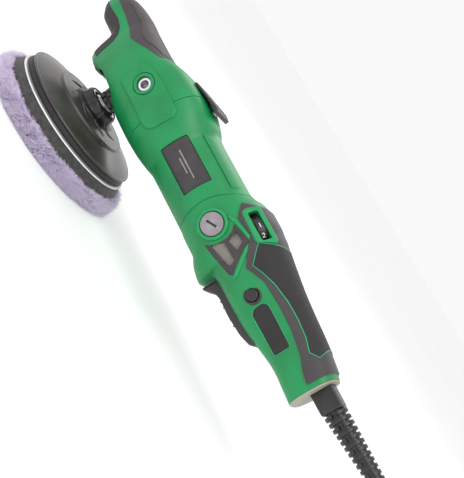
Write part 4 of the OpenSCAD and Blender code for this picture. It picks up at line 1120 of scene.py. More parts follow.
        ring = slab(band, (4, 96), -0.25, -15.5, 0.4, True)
        end = make_piece("tail_band", [ring], TAIL_PAINTED_HIGHLIGHT, "housing")
        cut(end, [tail])

    def dial_frame(self) -> tuple[np.ndarray, np.ndarray]:
        """Rows of the dial's own directions, X along the body and Y outwards, and its centre."""
        up = np.array(self.places.dial_axis, float)
        up /= np.linalg.norm(up)
        along = np.array([1.0, 0.0, 0.0])
        outwards = np.cross(along, up)
        return np.stack([along, outwards, up]), np.array(self.places.dial, float)

    def dial_block(self, half_x: float, half_z: float, near: float, far: float) -> Solid:
        """Cutter of the dial's window, in the dial's own directions."""
        basis, at = self.dial_frame()
        loop = rounded([(-half_x, -half_z), (half_x, -half_z), (half_x, half_z), (-half_x, half_z)], 1.0)
        rings = np.stack([np.stack([loop[:, 0], np.full(len(loop), -y), loop[:, 1]], 1) for y in (near, far)])
        return stacked(rings).placed(basis, at)

    def saddle(self) -> None:
        """Rubber over the handle, its chequered inset, and the green piping round both."""
        tail = self.places.tail_x
        over = self.between_lines((144, tail - 4.6), self.saddle_line, front=lambda s: 153.5 - 9.5 * s**1.5)
        grip = make_piece("handle_saddle", [slab(over, (190, 80), 1.15, -0.4, 0.7)], RUBBER, "housing",
                          ("handle_grip",))
        basis, at = self.dial_frame()
        loop = self.bezel_loop(-0.4)
        rings = np.stack([np.stack([loop[:, 0], np.full(len(loop), y), loop[:, 1]], 1) for y in (4.0, 22.0)])
        wells = [stacked(rings).placed(basis, at)]
        wells += [self.drill(3.15, x, z, depth, 60).mirrored()
                  for x, z, depth in ((186, 24, 14), (250, 17, 11), (tail - 18, 15.5, 11))]
        wells += [self.drill(self.ring_r + 0.3, self.places.brush[0], 1.5, 15, 60)]
        wells += [wells[-1].mirrored()]
        cut(grip, wells)
        inset = self.between_lines((178, 268), self.inset_line, front=lambda s: 186.5 - 8.5 * s**1.3,
                                   back=lambda s: 264 + 4 * s)
        make_piece("saddle_inset", [slab(inset, (120, 64), 1.55, 0.6, 0.5)], DARK_GRIP, "housing")
        u, v = np.linspace(0, 1, 140), np.linspace(0, 1, 60)
        along, round_end = np.full(140, 1.32), np.full(58, 1.32)
        rim = np.concatenate([inset(u[::-1], np.zeros(140), along), inset(np.zeros(58), v[1:-1], round_end),
                              inset(u, np.ones(140), along), inset(np.ones(58), v[-2:0:-1], round_end)])
        make_piece("saddle_piping", [self.piping(rim, 0.42)], GREEN_INK, "housing")
        stripe = np.array([(150.5, 12.9), (156, 15.7), (172.6, 18.8), (174.6, 18.2), (189.4, -3.2), (190.2, -6.5)])
        # The stripes are coloured lighter than the shell: a painted highlight
        for name, turn in SIDES.items():
            make_piece(f"stripe_{name}", [turn(self.ribbon(stripe, 2.3, 1.0))], HIGHLIGHT_GREEN, "housing")

    def piping(self, path: np.ndarray, radius: float) -> Solid:
        """Closed bead along a ring of points on the casing.

        The bead's ring stands on two lines square to its path: one points away from the body's axis,
        and the other is square to both.
        """
        t = np.roll(path, -1, 0) - np.roll(path, 1, 0)
        t /= np.linalg.norm(t, axis=1)[:, None]
        away = path - np.array([0, 0, self.places.axis]) - np.stack([path[:, 0], 0 * path[:, 0], 0 * path[:, 0]], 1)
        side = np.cross(t, away)
        side /= np.linalg.norm(side, axis=1)[:, None]
        up = np.cross(side, t)
        a = np.linspace(0, 2 * np.pi, 8, endpoint=False)[None, :, None]
        rings = path[:, None] + radius * (np.cos(a) * side[:, None] + np.sin(a) * up[:, None])
        rings = np.vstack([rings, rings[:1]])
        return Solid(rings.reshape(-1, 3), grid_faces(len(rings), 8, True).tolist())

    def ribbon(self, corners: np.ndarray, width: float, proud: float) -> Solid:
        """Raised stripe of one width along a line on the left side.

        Args:
            corners: Points of its middle line, x and z.
            width: Its width.
            proud: How far it stands over the shell.

        Returns:
            The stripe.
        """
        line = resampled(rounded(corners, 2.0, closed=False), 90, closed=False)
        t = np.gradient(line, axis=0)
        across = np.stack([-t[:, 1], t[:, 0]], 1) / np.linalg.norm(t, axis=1)[:, None]
        at = np.linspace(0, 1, 90)

        def surface(u: np.ndarray, v: np.ndarray, g: np.ndarray) -> np.ndarray:
            x, z = (np.interp(u, at, line[:, k]) + (v - 0.5) * width * np.interp(u, at, across[:, k]) for k in (0, 1))
            return self.outline.left(x, z, g)

        return slab(surface, (90, 8), proud, -0.5, 0.6)

    def vents(self) -> None:
        """Air grilles beside the brush caps: a dark frame, two windows and a wire mesh in each."""
        loop = resampled(rounded(self.vent_line, 1.0), 150)
        frame = patch(loop, (171.5, 3), self.on_left, 0.35, -1.9, 0.5, rings=22)
        windows = [rounded([(163.2, 12.4), (171.2, 13.2), (175.6, 6.6), (166.4, 4.2)], 1.0),
                   rounded([(165.2, 1.2), (180.2, 1.2), (182.2, -4.6), (162.2, -8.6)], 1.0)]
        cutters = [self.side_block(w, 20, 45) for w in windows]
        mesh = [wire for w in windows for wire in self.wires(w, 0.95, 0.17)]
        for name, turn in SIDES.items():
            replaced = ("vent_panels",) if name == "left" else ()
            piece = make_piece(f"vent_frame_{name}", [turn(frame)], DARK_NYLON, "housing", replaced)
            cut(piece, [turn(c) for c in cutters])
            make_piece(f"vent_mesh_{name}", [turn(w) for w in mesh], GRILLE_WIRE, "housing")
            grown = [resampled(drawn_in(resampled(w, 60), -1.2), 60) for w in windows]
            back = [patch(g, tuple(w.mean(0)), self.on_left, -1.5, -2.4, 0.2) for g, w in zip(grown, windows)]
            make_piece(f"vent_screen_{name}", [turn(b) for b in back], CAP_THERMOSET, "housing")

    def wires(self, window: np.ndarray, pitch: float, radius: float) -> list[Solid]:
        """Crossing wires inside a window's outline, a pitch apart.

        Each wire runs on a slanted line between the two points where it crosses the outline.

        Args:
            window: Outline as x and z.
            pitch: Distance between neighbours.
            radius: Radius of a wire.

        Returns:
            The wires.
        """
        found = []
        centre, loop = window.mean(0), np.vstack([window, window[:1]])
        for way in (np.array([0.83, 0.56]), np.array([-0.56, 0.83])):
            across = np.array([-way[1], way[0]])
            side = (loop - centre) @ across
            for offset in np.arange(np.ceil(side.min() / pitch), np.floor(side.max() / pitch) + 1) * pitch:
                gap = side - offset
                k = np.nonzero(gap[:-1] * gap[1:] < 0)[0]
                if len(k) < 2:
                    continue
                share = (gap[k] / (gap[k] - gap[k + 1]))[:, None]
                ends = loop[k] + share * (loop[k + 1] - loop[k])
                line = ends[0] + np.linspace(0, 1, 5)[:, None] * (ends[-1] - ends[0])
                path = self.outline.left(line[:, 0], line[:, 1], -0.75)
                found.append(tube(path, radius, 5, (0.0, 1.0, 0.0)))
        return found

    def brush_caps(self) -> None:
        """Brush caps with their driver slots, in raised green rings, and a black sheet on each slot's floor as painted
        shade.
        """
        p = self.places
        x, z, near = p.brush[0], p.brush[1] - p.axis, 27.0
        face = 33.5
        ring = rounded([(self.cap_r + 0.75, near), (self.ring_r, near), (self.ring_r - 0.3, face - 0.6),
                        (self.ring_r - 1.6, face), (self.cap_r + 0.75, face - 0.3)], 0.7)
        cap = rounded([(0.0, near), (self.cap_r, near), (self.cap_r, face + 0.2), (self.cap_r - 0.6, face + 0.5),
                       (0.0, face + 0.7)], 0.5)
        cap = np.vstack([[(0.0, near)], cap[cap[:, 0] > 0.05], [(0.0, face + 0.7)]])
        well = np.array([(self.cap_r - 0.2, near - 2), (self.cap_r + 0.9, near - 2), (self.cap_r + 0.9, face - 2.6),
                         (self.cap_r - 0.2, face - 2.6)])
        slot_loop = np.array([(-0.85, -4.6), (0.85, -4.6), (0.85, 4.6), (-0.85, 4.6)])
        turn_slot = math.radians(-62)
        spin = np.array([[math.cos(turn_slot), math.sin(turn_slot)], [-math.sin(turn_slot), math.cos(turn_slot)]])
        groove = slot_loop @ spin + [x, z]
        ring_solid, cap_solid, well_solid = (self.out_left(q, x, z) for q in (ring, cap, well))
        for name, turn in SIDES.items():
            replaced = ("brush_caps",) if name == "left" else ()
            piece = make_piece(f"brush_cap_{name}", [turn(cap_solid)], CAP_THERMOSET, "housing", replaced)
            cut(piece, [turn(self.side_block(groove, face - 1.2, face + 4))])
            # Black sheet just above the groove's floor, darkening the slot: painted shade
            slot_shade_sheet = self.side_block(groove, face - 1.9, face - 1.1)
            make_piece(f"brush_slot_{name}", [turn(slot_shade_sheet)], BLACK_NYLON, "housing")
            # The brush rings are coloured lighter than the shell: a painted highlight
            make_piece(f"brush_ring_{name}", [turn(ring_solid)], HIGHLIGHT_GREEN, "housing")
            make_piece(f"brush_well_{name}", [turn(well_solid)], BLACK_NYLON, "housing")

    def insets(self) -> None:
        """Dark chequered insets low on the handle, with a thin green bead round them."""
        loop = resampled(rounded(self.u_line, 2.2), 130)
        plate = patch(loop, (234, -0.8), self.on_left, 0.3, -0.8, 0.5, rings=20)
        bead = self.piping(self.outline.left(loop[:, 0], loop[:, 1], 0.12), 0.4)
        for name, turn in SIDES.items():
            replaced = ("handle_insets",) if name == "left" else ()
            make_piece(f"handle_inset_{name}", [turn(plate)], DARK_GRIP, "housing", replaced)
            make_piece(f"handle_bead_{name}", [turn(bead)], GREEN_INK, "housing")

    def bezel_loop(self, grown: float) -> np.ndarray:
        """Outline of the dial's bezel in the dial's own X and Z, made wider by grown."""
        corners = [(-15, 8.2), (15, 8.2), (16.4, 5.5), (11.5, -8.2), (-14, -8.2), (-16, -4.5)]
        return drawn_in(resampled(rounded(corners, 2.6), 120), -grown)


# ---------------------------------------------------------------- controls


@dataclass
class Controls:
    """Speed dial and its bezel, trigger, lock-on button and spindle lock."""

    casing: Casing
    dial_r: float = 13.0
    dial_t: float = 6.4
    bezel_top: float = 12.9
    casing_r: float = 33.0
    digits: int = 6
    spring_well: float = 4.2

    def build(self) -> None:
        """Builds every control."""
        self.bezel()
        self.dial()
        self.trigger()
        self.lock_on()
        self.lock_lever()

    def bezel(self) -> None:
        """Raised bezel with a window. Its face is part of a cylinder along the body."""
        basis, at = self.casing.dial_frame()

        def place(x: np.ndarray, z: np.ndarray, h: np.ndarray) -> np.ndarray:
            return np.stack([x, self.bezel_top + h - z**2 / (2 * self.casing_r), z], -1)

        loop, facing = seen_from(self.casing.bezel_loop(0), (0.0, 0.0), 160)
        window = rounded([(-11.9, -4.1), (11.9, -4.1), (11.9, 4.1), (-11.9, 4.1)], 1.4)
        angles = np.unwrap(np.arctan2(window[:, 1], window[:, 0]))
        order = np.argsort(angles % (2 * np.pi))
        hole = np.stack([np.interp(facing % (2 * np.pi), (angles % (2 * np.pi))[order], window[order, k],
                                   period=2 * np.pi) for k in (0, 1)], 1)
        solid = patch(loop, (0, 0), place, 0.25, -3.4, 0.9, hole, 8).placed(basis, at)
        # The bezel is coloured lighter than the shell: a painted highlight
        make_piece("dial_bezel_frame", [solid], HIGHLIGHT_GREEN, "housing", ("dial_bezel",))
        outer, inner = (rounded([(-w, -h), (w, -h), (w, h), (-w, h)], 1.0) for w, h in ((12.9, 4.9), (12.1, 4.1)))
        levels = (2.5, self.bezel_top - 1.2)
        sheets = [np.stack([np.stack([q[:, 0], np.full(len(q), h), q[:, 1]], 1) for h in levels])
                  for q in (outer, inner)]
        well = solid_between(sheets[0], sheets[1], True).placed(basis, at)
        make_piece("dial_well", [well], BLACK_NYLON, "housing")

    def dial(self) -> None:
        """Thumb wheel with notched rims and plain numbers round it.

        The radius dips by a notch's depth, thirty-six times a turn, near both rims.
        """
        r, half = self.dial_r - 0.15, self.dial_t / 2

        def notched(radius: np.ndarray, height: np.ndarray, a: np.ndarray) -> np.ndarray:
            near_rim = np.abs(height) > half - 1.1
            dip = 0.4 * (np.cos(36 * a) > 0.2) * near_rim * (radius > r - 1.5)
            return radius - dip

        profile = rounded([(2.5, -half), (r, -half), (r, -half + 1.05), (r - 0.12, -half + 1.2), (r - 0.12, half - 1.2),
                           (r, half - 1.05), (r, half), (2.5, half)], 0.25)
        basis, at = self.casing.dial_frame()
        wheel = lathed(profile, 216, notched).placed(basis, at)
        make_piece("dial_wheel", [wheel], BLACK_NYLON, "dial", ("speed_dial",))
        numbers = [self.number(str(k + 1), math.radians(-90 + 36 * k)) for k in range(self.digits)]
        make_piece("dial_numbers", [n.placed(basis, at) for n in numbers], WHITE_INK, "dial")

    def number(self, text: str, angle: float) -> Solid:
        """A number wrapped on the wheel's rim.

        Args:
            text: The number.
            angle: Where its middle lies round the wheel.

        Returns:
            Its solid in the dial's own directions.
        """
        curve = bpy.data.curves.new("number", "FONT")
        curve.body, curve.size, curve.extrude = text, 5.2, 0.12
        curve.align_x, curve.align_y = "CENTER", "CENTER"
        holder = bpy.data.objects.new("number", curve)
        bpy.context.scene.collection.objects.link(holder)
        graph = bpy.context.evaluated_depsgraph_get()
        mesh = bpy.data.meshes.new_from_object(holder.evaluated_get(graph), depsgraph=graph)
        flat = np.empty(len(mesh.vertices) * 3, np.float32)
        mesh.vertices.foreach_get("co", flat)
        flat = flat.reshape(-1, 3).astype(float)
        faces = [list(f.vertices) for f in mesh.polygons]
        bpy.data.objects.remove(holder)
        bpy.data.meshes.remove(mesh)
        radius = self.dial_r - 0.2 + flat[:, 2]
        around = angle - flat[:, 1] / self.dial_r
        return Solid(np.stack([radius * np.cos(around), -radius * np.sin(around), flat[:, 0] * 1.15], 1), faces)

    def trigger(self) -> None:
        """Trigger paddle with a rounded finger face, ridges across it and a well for its spring."""
        z = self.casing.places.axis
        corners = [(178.2, -34.6), (180, -34.4), (183.5, -31), (187, -27.6), (192, -26.3), (207, -26.8), (223, -25.4),
                   (233, -22.6), (235.4, -20), (235.2, -15.5), (231, -14.6), (223, -18), (178.2, -18)]
        loop = resampled(rounded(corners, 2.2), 130)
        body = prism(loop + [0, z], -7.5, 7.5, 1.6)
        ridges = []
        for k in range(5):
            x = 194 + 5.2 * k
            path = np.stack([np.full(9, x), np.linspace(-5.4, 5.4, 9), np.full(9, z - 26.9 + 0.02 * (x - 194))], 1)
            ridges.append(tube(path, 0.55, 8))
        paddle = make_piece("trigger_paddle", [body, *ridges], DARK_NYLON, "trigger", ("trigger",))
        low, high = (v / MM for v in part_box("trigger_spring"))
        middle, reach = (low + high) / 2, (high.x - low.x) / 2 + 0.8
        floor = low.z - self.spring_well
        well = lathed(np.array([(0.0, floor), (reach, floor), (reach, z - 14), (0.0, z - 14)]), 48)
        cut(paddle, [well.placed(np.eye(3), (middle.x, middle.y, 0))])

    def lock_on(self) -> None:
        """Lock-on button, domed, in a rounded collar."""
        p = self.casing.places
        out = -p.button[1]
        x, z = p.button[0], p.button[2] - p.axis
        t = np.linspace(0, 1, 9)
        dome = np.stack([4.6 * np.sin(t * np.pi / 2), out - 1.1 + 1.1 * np.cos(t * np.pi / 2)], 1)
        profile = np.vstack([[(0.0, 12.6), (4.6, 12.6)], dome[::-1]])
        make_piece("lock_on_cap", [self.casing.out_left(profile, x, z)], BLACK_NYLON, "lock_on",
                   ("lock_on_button",))
        skin = -float(self.casing.outline.left(np.array([x]), np.array([z]), 0.0)[0, 1])
        collar = rounded([(5.15, skin - 3), (6.9, skin - 3), (6.6, skin + 0.7), (5.15, skin + 0.7)], 0.5)
        make_piece("lock_on_collar", [self.casing.out_left(collar, x, z)], DARK_NYLON, "housing")

    def lock_lever(self) -> None:
        """Spindle-lock lever: a flat tab with grip ridges at its free end."""
        z = self.casing.places.axis + 36
        corners = [(34, -0.3), (35.5, 1.8), (63, 5.7), (66.4, 5.1), (66.8, 1.6), (64.8, 1.5), (63.2, 2.75),
                   (60, 2.6), (50, 1.8), (44, 0.9), (39.4, 0), (36.6, -0.4)]
        loop = resampled(rounded(corners, 0.8), 110)
        tab = prism(loop + [0, z], -12.9, 12.9, 0.7)
        ridges = []
        for k in range(6):
            x = 52 + 2.1 * k
            height = z + 1.8 + 3.9 * (x - 35.5) / 27.5
            path = np.stack([np.full(9, x), np.linspace(-10.5, 10.5, 9), np.full(9, height)], 1)
            ridges.append(tube(path, 0.45, 8))
        make_piece("lock_tab", [tab, *ridges], DARK_NYLON, "lock_lever", ("lock_lever",))


# ---------------------------------------------------------------- pad


@dataclass
class Pad:
    """Wool, foam, cushion, plate, hub and collar."""

    places: Places
    seed: int = 11
    tufts: int = 13500
    rim_layers: int = 3
    face_tufts: int = 9000

    def build(self) -> None:
        """Builds the pad from the work up."""
        self.foam()
        self.plate()
        self.hub()
        self.collar()
        self.wool_body()
        self.wool_pile()

    def centred(self, solid: Solid) -> Solid:
        """The solid on the pad's own axis."""
        return Solid(solid.points + [0, self.places.pad_y, 0], solid.faces)

    def foam(self) -> None:
        """Foam layer, the white loop cloth on it and the plate's black cushion.

        The foam's and the cloth's edges waver by a sum of three sines of the angle.
        """
        p = self.places

        def waver(amount: float) -> Callable:
            def moved(r: np.ndarray, h: np.ndarray, a: np.ndarray) -> np.ndarray:
                return r + amount * (np.sin(5 * a) + 0.7 * np.sin(11 * a + 1) + 0.5 * np.sin(23 * a + 2)) * (r > 40)

            return moved

        low, high = p.wool_top, p.foam_top
        side = [(0, low), (p.foam_r - 0.2, low), (p.foam_r + 0.1, low + 1.2), (p.foam_r - 1.6, (low + high) / 2),
                (p.foam_r - 3.9, high - 0.6), (p.foam_r - 4.4, high), (0, high)]
        layer = self.centred(lathed(poled(rounded(side, 0.9)), 180, waver(0.12)))
        foam = make_piece("foam_layer", [layer], FOAM, "pad", ("pad_foam",))
        cloth = [(0, high), (p.foam_r - 3.5, high), (p.foam_r - 3.35, high + 0.45), (p.foam_r - 3.6, high + 0.9),
                 (0, high + 0.9)]
        disc = self.centred(lathed(poled(rounded(cloth, 0.2)), 180, waver(0.1)))
        loops = make_piece("loop_cloth", [disc], LOOP_CLOTH, "pad", ("loop_backing",))
        z0, z1 = p.cushion_z
        ring = [(9, z0), (p.plate_r - 0.5, z0), (p.plate_r + 0.1, z0 + 1.2), (p.plate_r - 0.3, z1 - 1.6),
                (p.plate_r - 1.3, z1), (9, z1)]
        pillow = self.centred(lathed(rounded(ring, 0.8), 144))
        cushion = make_piece("plate_foam", [pillow], BLACK_FOAM, "pad", ("plate_cushion",))

    def plate(self) -> None:
        """Dished plate with its rim, step, disc and curved ribs."""
        p = self.places
        z1, disc = p.cushion_z[1], p.plate_r * 0.616
        top = p.plate_top - 1.6
        profile = rounded([(8.2, z1), (p.plate_r, z1), (p.plate_r + 0.1, z1 + 1.0), (p.plate_r - 0.7, z1 + 1.9),
                           (p.plate_r - 2.0, z1 + 1.7), (p.plate_r - 2.8, z1 + 2.2), (p.plate_r - 8, z1 + 4.0),
                           (p.plate_r - 15, z1 + 6.1), (disc + 2.2, z1 + 7.9), (disc + 1.0, z1 + 8.1),
                           (disc + 0.5, top), (disc - 1.2, top + 0.35), (disc - 2.2, top + 0.15), (disc - 8, top + 0.7),
                           (21, p.plate_top + 0.1), (8.2, p.plate_top + 0.1)], 1.1)
        plate = self.centred(lathed(profile, 180))
        ribs = []
        for k in range(8):
            t = np.linspace(0, 1, 18)
            r, a = 19.5 + 9.5 * t, math.radians(45 * k) + math.radians(34) * t
            z = np.interp(r, [21, disc - 8, disc - 2.2], [p.plate_top + 0.1, top + 0.7, top + 0.15])
            path = np.stack([r * np.cos(a), r * np.sin(a), z + 0.15], 1)
            ribs.append(self.centred(tube(path, 0.75 * np.sin(np.pi * (0.08 + 0.84 * t)), 8)))
        make_piece("dished_plate", [plate, *ribs], PLATE_NYLON, "pad", ("backing_plate",))

    def hub(self) -> None:
        """Hub with a flared foot and shallow flutes.

        The radius dips in nine flutes: by a bell curve of the angle from the nearest one.
        """
        p = self.places

        def fluted(r: np.ndarray, h: np.ndarray, a: np.ndarray) -> np.ndarray:
            off = (a * 9 / (2 * np.pi) + 0.5) % 1 - 0.5 + 0 * h
            return r - 0.75 * np.exp(-((off / 0.07) ** 2)) * (r > 14.2) * (h < p.hub_top - 1.2)

        z0, z1 = p.plate_top, p.hub_top
        profile = rounded([(8.6, z0), (21.4, z0), (20.0, z0 + 1.4), (17.6, z0 + 2.8), (16.7, z0 + 5.2),
                           (16.4, z1 - 2.4), (14.8, z1 - 0.2), (14.1, z1), (14.1, z0 + 2.4), (8.6, z0 + 2.4)], 0.9)
        hub = self.centred(lathed(profile, 216, fluted))
        make_piece("fluted_hub", [hub], BLACK_NYLON, "pad", ("pad_hub",))

    def collar(self) -> None:
        """Collar with two rows of square teeth.

        The radius is the tooth's inside a tooth's share of each step of the angle, and the root's
        elsewhere; the second row is turned by half a step.
        """
        low, high = self.places.collar_z
        mid = (low + high) / 2
        tip, root, step = 10.2, 8.9, 2 * np.pi / 12

        def toothed(r: np.ndarray, h: np.ndarray, a: np.ndarray) -> np.ndarray:
            share = (a / step + 0.5 * (h > mid)) % 1
            gap = (share > 0.68) & (r > root)
            return np.where(gap, root, r)

        rows = [(6.1, low), (root, low), (tip - 0.3, low + 0.3), (tip, low + 0.7), (tip, mid - 0.9),
                (tip - 0.2, mid - 0.5), (root, mid - 0.4), (root, mid + 0.2), (tip - 0.2, mid + 0.3), (tip, mid + 0.7),
                (tip, high - 0.9), (tip - 0.3, high - 0.5), (root, high - 0.4), (root - 0.4, high), (6.1, high)]
        collar = lathed(np.array(rows, float), 240, toothed)
        make_piece("toothed_collar", [collar], BLACK_NYLON, "spindle", ("spindle_collar",), 25)

    def wool_body(self) -> None:
        """Felted body under the pile: a disc puffed up as cloth under pressure, with its swell capped."""
        p = self.places
        inner = p.wool_r - 3.2
        side = [(0, 1.6), (inner - 4, 1.6), (inner, 5.4), (inner - 0.6, p.wool_top - 2.4),
                (p.foam_r - 1, p.wool_top - 0.7), (0, p.wool_top - 0.7)]
        felt = self.centred(lathed(poled(rounded(side, 3.0)), 120, self.lumpy))
        body = make_piece("wool_body", [felt], WOOL_FELT, "pad", ("wool_pad",), 60)
        puff(body, voxel=4.5 * MM, pressure=4.0, cap=0.9 * MM)

    def lumpy(self, r: np.ndarray, h: np.ndarray, a: np.ndarray) -> np.ndarray:
        """Radius that wavers round the rim by a sum of sines of the angle."""
        wave = np.sin(7 * a + 0.6) + 0.8 * np.sin(13 * a + 2.1) + 0.6 * np.sin(29 * a) + 0.4 * np.sin(47 * a + 1.0)
        return r + 0.42 * wave * (r > 50)

    def wool_pile(self) -> None:
        """Short fine tufts, combed over the felted body in soft locks, and laid flat on the working face."""
        p, rng = self.places, np.random.default_rng(self.seed)
        for layer in range(self.rim_layers):
            a = rng.uniform(0, 2 * np.pi, self.tufts)
            # A root walks round the rim's section, from the foam's edge to the working face
            bend = np.pi * rng.uniform(-0.42, 0.55, self.tufts)
            radius = p.wool_r - 8.4 + 5.0 * np.cos(bend) + 0.42 * np.sin(13 * a + 2.1)
            height = 0.5 * p.wool_top + (0.5 * p.wool_top - 1.6) * -np.sin(bend)
            out = np.stack([np.cos(a) * np.cos(bend), np.sin(a) * np.cos(bend), -np.sin(bend)], 1)
            round_rim = np.stack([-np.sin(a), np.cos(a), 0 * a], 1)
            down = np.cross(out, round_rim)
            comb = np.sin(17 * a + 3 * np.sin(5 * a) + 2.2 * bend)[:, None]
            way = 0.75 * out + 0.55 * comb * round_rim + 0.45 * np.cos(11 * a)[:, None] * down
            way += rng.normal(0, 0.3, (self.tufts, 3))
            roots = np.stack([radius * np.cos(a), radius * np.sin(a), height], 1)
            self.tuft_piece(f"wool_rim_pile_{layer}", roots, way, rng.uniform(3.2, 6.2, self.tufts), rng, 0.27)
        b, q = rng.uniform(0, 2 * np.pi, self.face_tufts), np.sqrt(rng.uniform(0, 1, self.face_tufts))
        r = (p.wool_r - 7.0) * q
        flat = np.stack([r * np.cos(b), r * np.sin(b), np.full_like(r, 2.0)], 1)
        lean = np.stack([np.cos(b), np.sin(b), np.full_like(b, -0.22)], 1)
        lean = lean + rng.normal(0, 0.7, (self.face_tufts, 3)) * [1, 1, 0.1]
        self.tuft_piece("wool_face_pile", flat, lean, rng.uniform(5, 9, self.face_tufts), rng, 0.5)

    def tuft_piece(self, name: str, roots: np.ndarray, way: np.ndarray, length: np.ndarray, rng: np.random.Generator,
                   thick: float) -> None:
        """One object of many tapered curved tufts.

        A tuft's middle line is its root, plus its way times the share of its length, plus a random
        sideways pull times the square of the share; its radius shrinks with the share.

        Args:
            name: The piece's name.
            roots: Where the tufts start, about the pad's axis.
            way: The directions that they take.
            length: Their lengths.
            rng: The seeded random source.
            thick: Radius at the root.
        """
        n, levels, sides = len(roots), 3, 3
        way = way / np.linalg.norm(way, axis=1)[:, None]
        pull = rng.normal(0, 0.3, (n, 3)) - [0, 0, 0.05]
        s = np.linspace(0, 1, levels)[None, :, None]
        line = roots[:, None] + length[:, None, None] * (way[:, None] * s + pull[:, None] * s**2)
        reach = np.linalg.norm(line[..., :2], axis=-1, keepdims=True)
        line[..., :2] *= np.minimum(1, (self.places.wool_r + 2.5) / reach)
        line[..., 2] = np.clip(line[..., 2], 0.5, self.places.wool_top + 2.5)
        side = np.cross(way, [0.31, 0.22, 0.92])
        side /= np.linalg.norm(side, axis=1)[:, None]
        other = np.cross(way, side)
        phi = np.arange(sides) * 2 * np.pi / sides
        radius = thick * (1 - 0.82 * s**1.2)
        ring = np.cos(phi)[:, None] * side[:, None, None] + np.sin(phi)[:, None] * other[:, None, None]
        points = line[:, :, None] + radius[..., None] * ring
        block = grid_faces(levels, sides, True)
        caps = np.array([[2, 1, 0], [(levels - 1) * sides, (levels - 1) * sides + 1, (levels - 1) * sides + 2]])
        start = (np.arange(n) * levels * sides)[:, None, None]
        faces = (block[None] + start).reshape(-1, 4).tolist() + (caps[None] + start).reshape(-1, 3).tolist()
        points = points.reshape(-1, 3) + [0, self.places.pad_y, 0]
        points[:, 2] = np.maximum(points[:, 2], 0.15)
        mesh = bpy.data.meshes.new(name)
        mesh.from_pydata((points * MM).tolist(), [], faces)
        mesh.shade_smooth()
        # Each tuft's own random tone, plus a rise from root to tip: painted shade at the roots between the tufts and a
        # painted highlight at the tips
        own = rng.uniform(-0.22, 0.22, n)[:, None, None]
        tone_and_painted_light = np.clip(0.3 + 0.6 * s + own + np.zeros((n, levels, sides)), 0, 1)
        attribute = mesh.attributes.new("tone_and_painted_light", "FLOAT", "POINT")
        attribute.data.foreach_set("value", tone_and_painted_light.reshape(-1).astype(np.float32))
        mesh.materials.append(WOOL.material())
        obj = bpy.data.objects.new(name, mesh)
        bpy.context.scene.collection.objects.link(obj)
        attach(obj, "pad")
        LOG.info("%s: %d tufts", name, n)


def poled(profile: np.ndarray) -> np.ndarray:
    """A profile whose points near the axis are put on it, so that the turned surface closes there."""
    out = profile.copy()
    out[:, 0] = np.where(out[:, 0] < 2.0, 0.0, out[:, 0])
    return out


def puff(obj: bpy.types.Object, voxel: float, pressure: float, cap: float, frames: int = 20) -> None:
    """Swells a closed mesh as cloth under pressure and leaves the result in its mesh.

    Args:
        obj: The piece.
        voxel: Size of the remeshed faces in metres.
        pressure: The cloth's inner pressure.
        cap: How far a point may move, in metres.
        frames: How many frames the cloth moves.
    """
    scene, material = bpy.context.scene, obj.data.materials[0]
    remesh = obj.modifiers.new("even_faces", "REMESH")
    remesh.mode, remesh.voxel_size = "VOXEL", voxel
    graph = bpy.context.evaluated_depsgraph_get()
    start = bpy.data.meshes.new_from_object(obj.evaluated_get(graph), depsgraph=graph)
    obj.modifiers.clear()
    obj.data = start
    before = np.empty(len(start.vertices) * 3, np.float32)
    start.vertices.foreach_get("co", before)
    cloth = obj.modifiers.new("swell", "CLOTH")
    cloth.settings.use_pressure, cloth.settings.uniform_pressure_force = True, pressure
    cloth.settings.effector_weights.gravity = 0.0
    for frame in range(1, frames + 1):
        scene.frame_set(frame)
    graph = bpy.context.evaluated_depsgraph_get()
    swollen = bpy.data.meshes.new_from_object(obj.evaluated_get(graph), depsgraph=graph)
    obj.modifiers.clear()
    after = np.empty_like(before)
    swollen.vertices.foreach_get("co", after)
    move = (after - before).reshape(-1, 3)
    size = np.linalg.norm(move, axis=1, keepdims=True)
    kept = before.reshape(-1, 3) + move * np.minimum(1, cap / np.maximum(size, 1e-9))
    swollen.vertices.foreach_set("co", kept.reshape(-1).astype(np.float32))
    obj.data = swollen
    if not swollen.materials:
        swollen.materials.append(material)
    swollen.shade_smooth()
    scene.frame_set(1)
    finer = obj.modifiers.new("finer", "SUBSURF")
    finer.levels = finer.render_levels = 1


# ---------------------------------------------------------------- lead


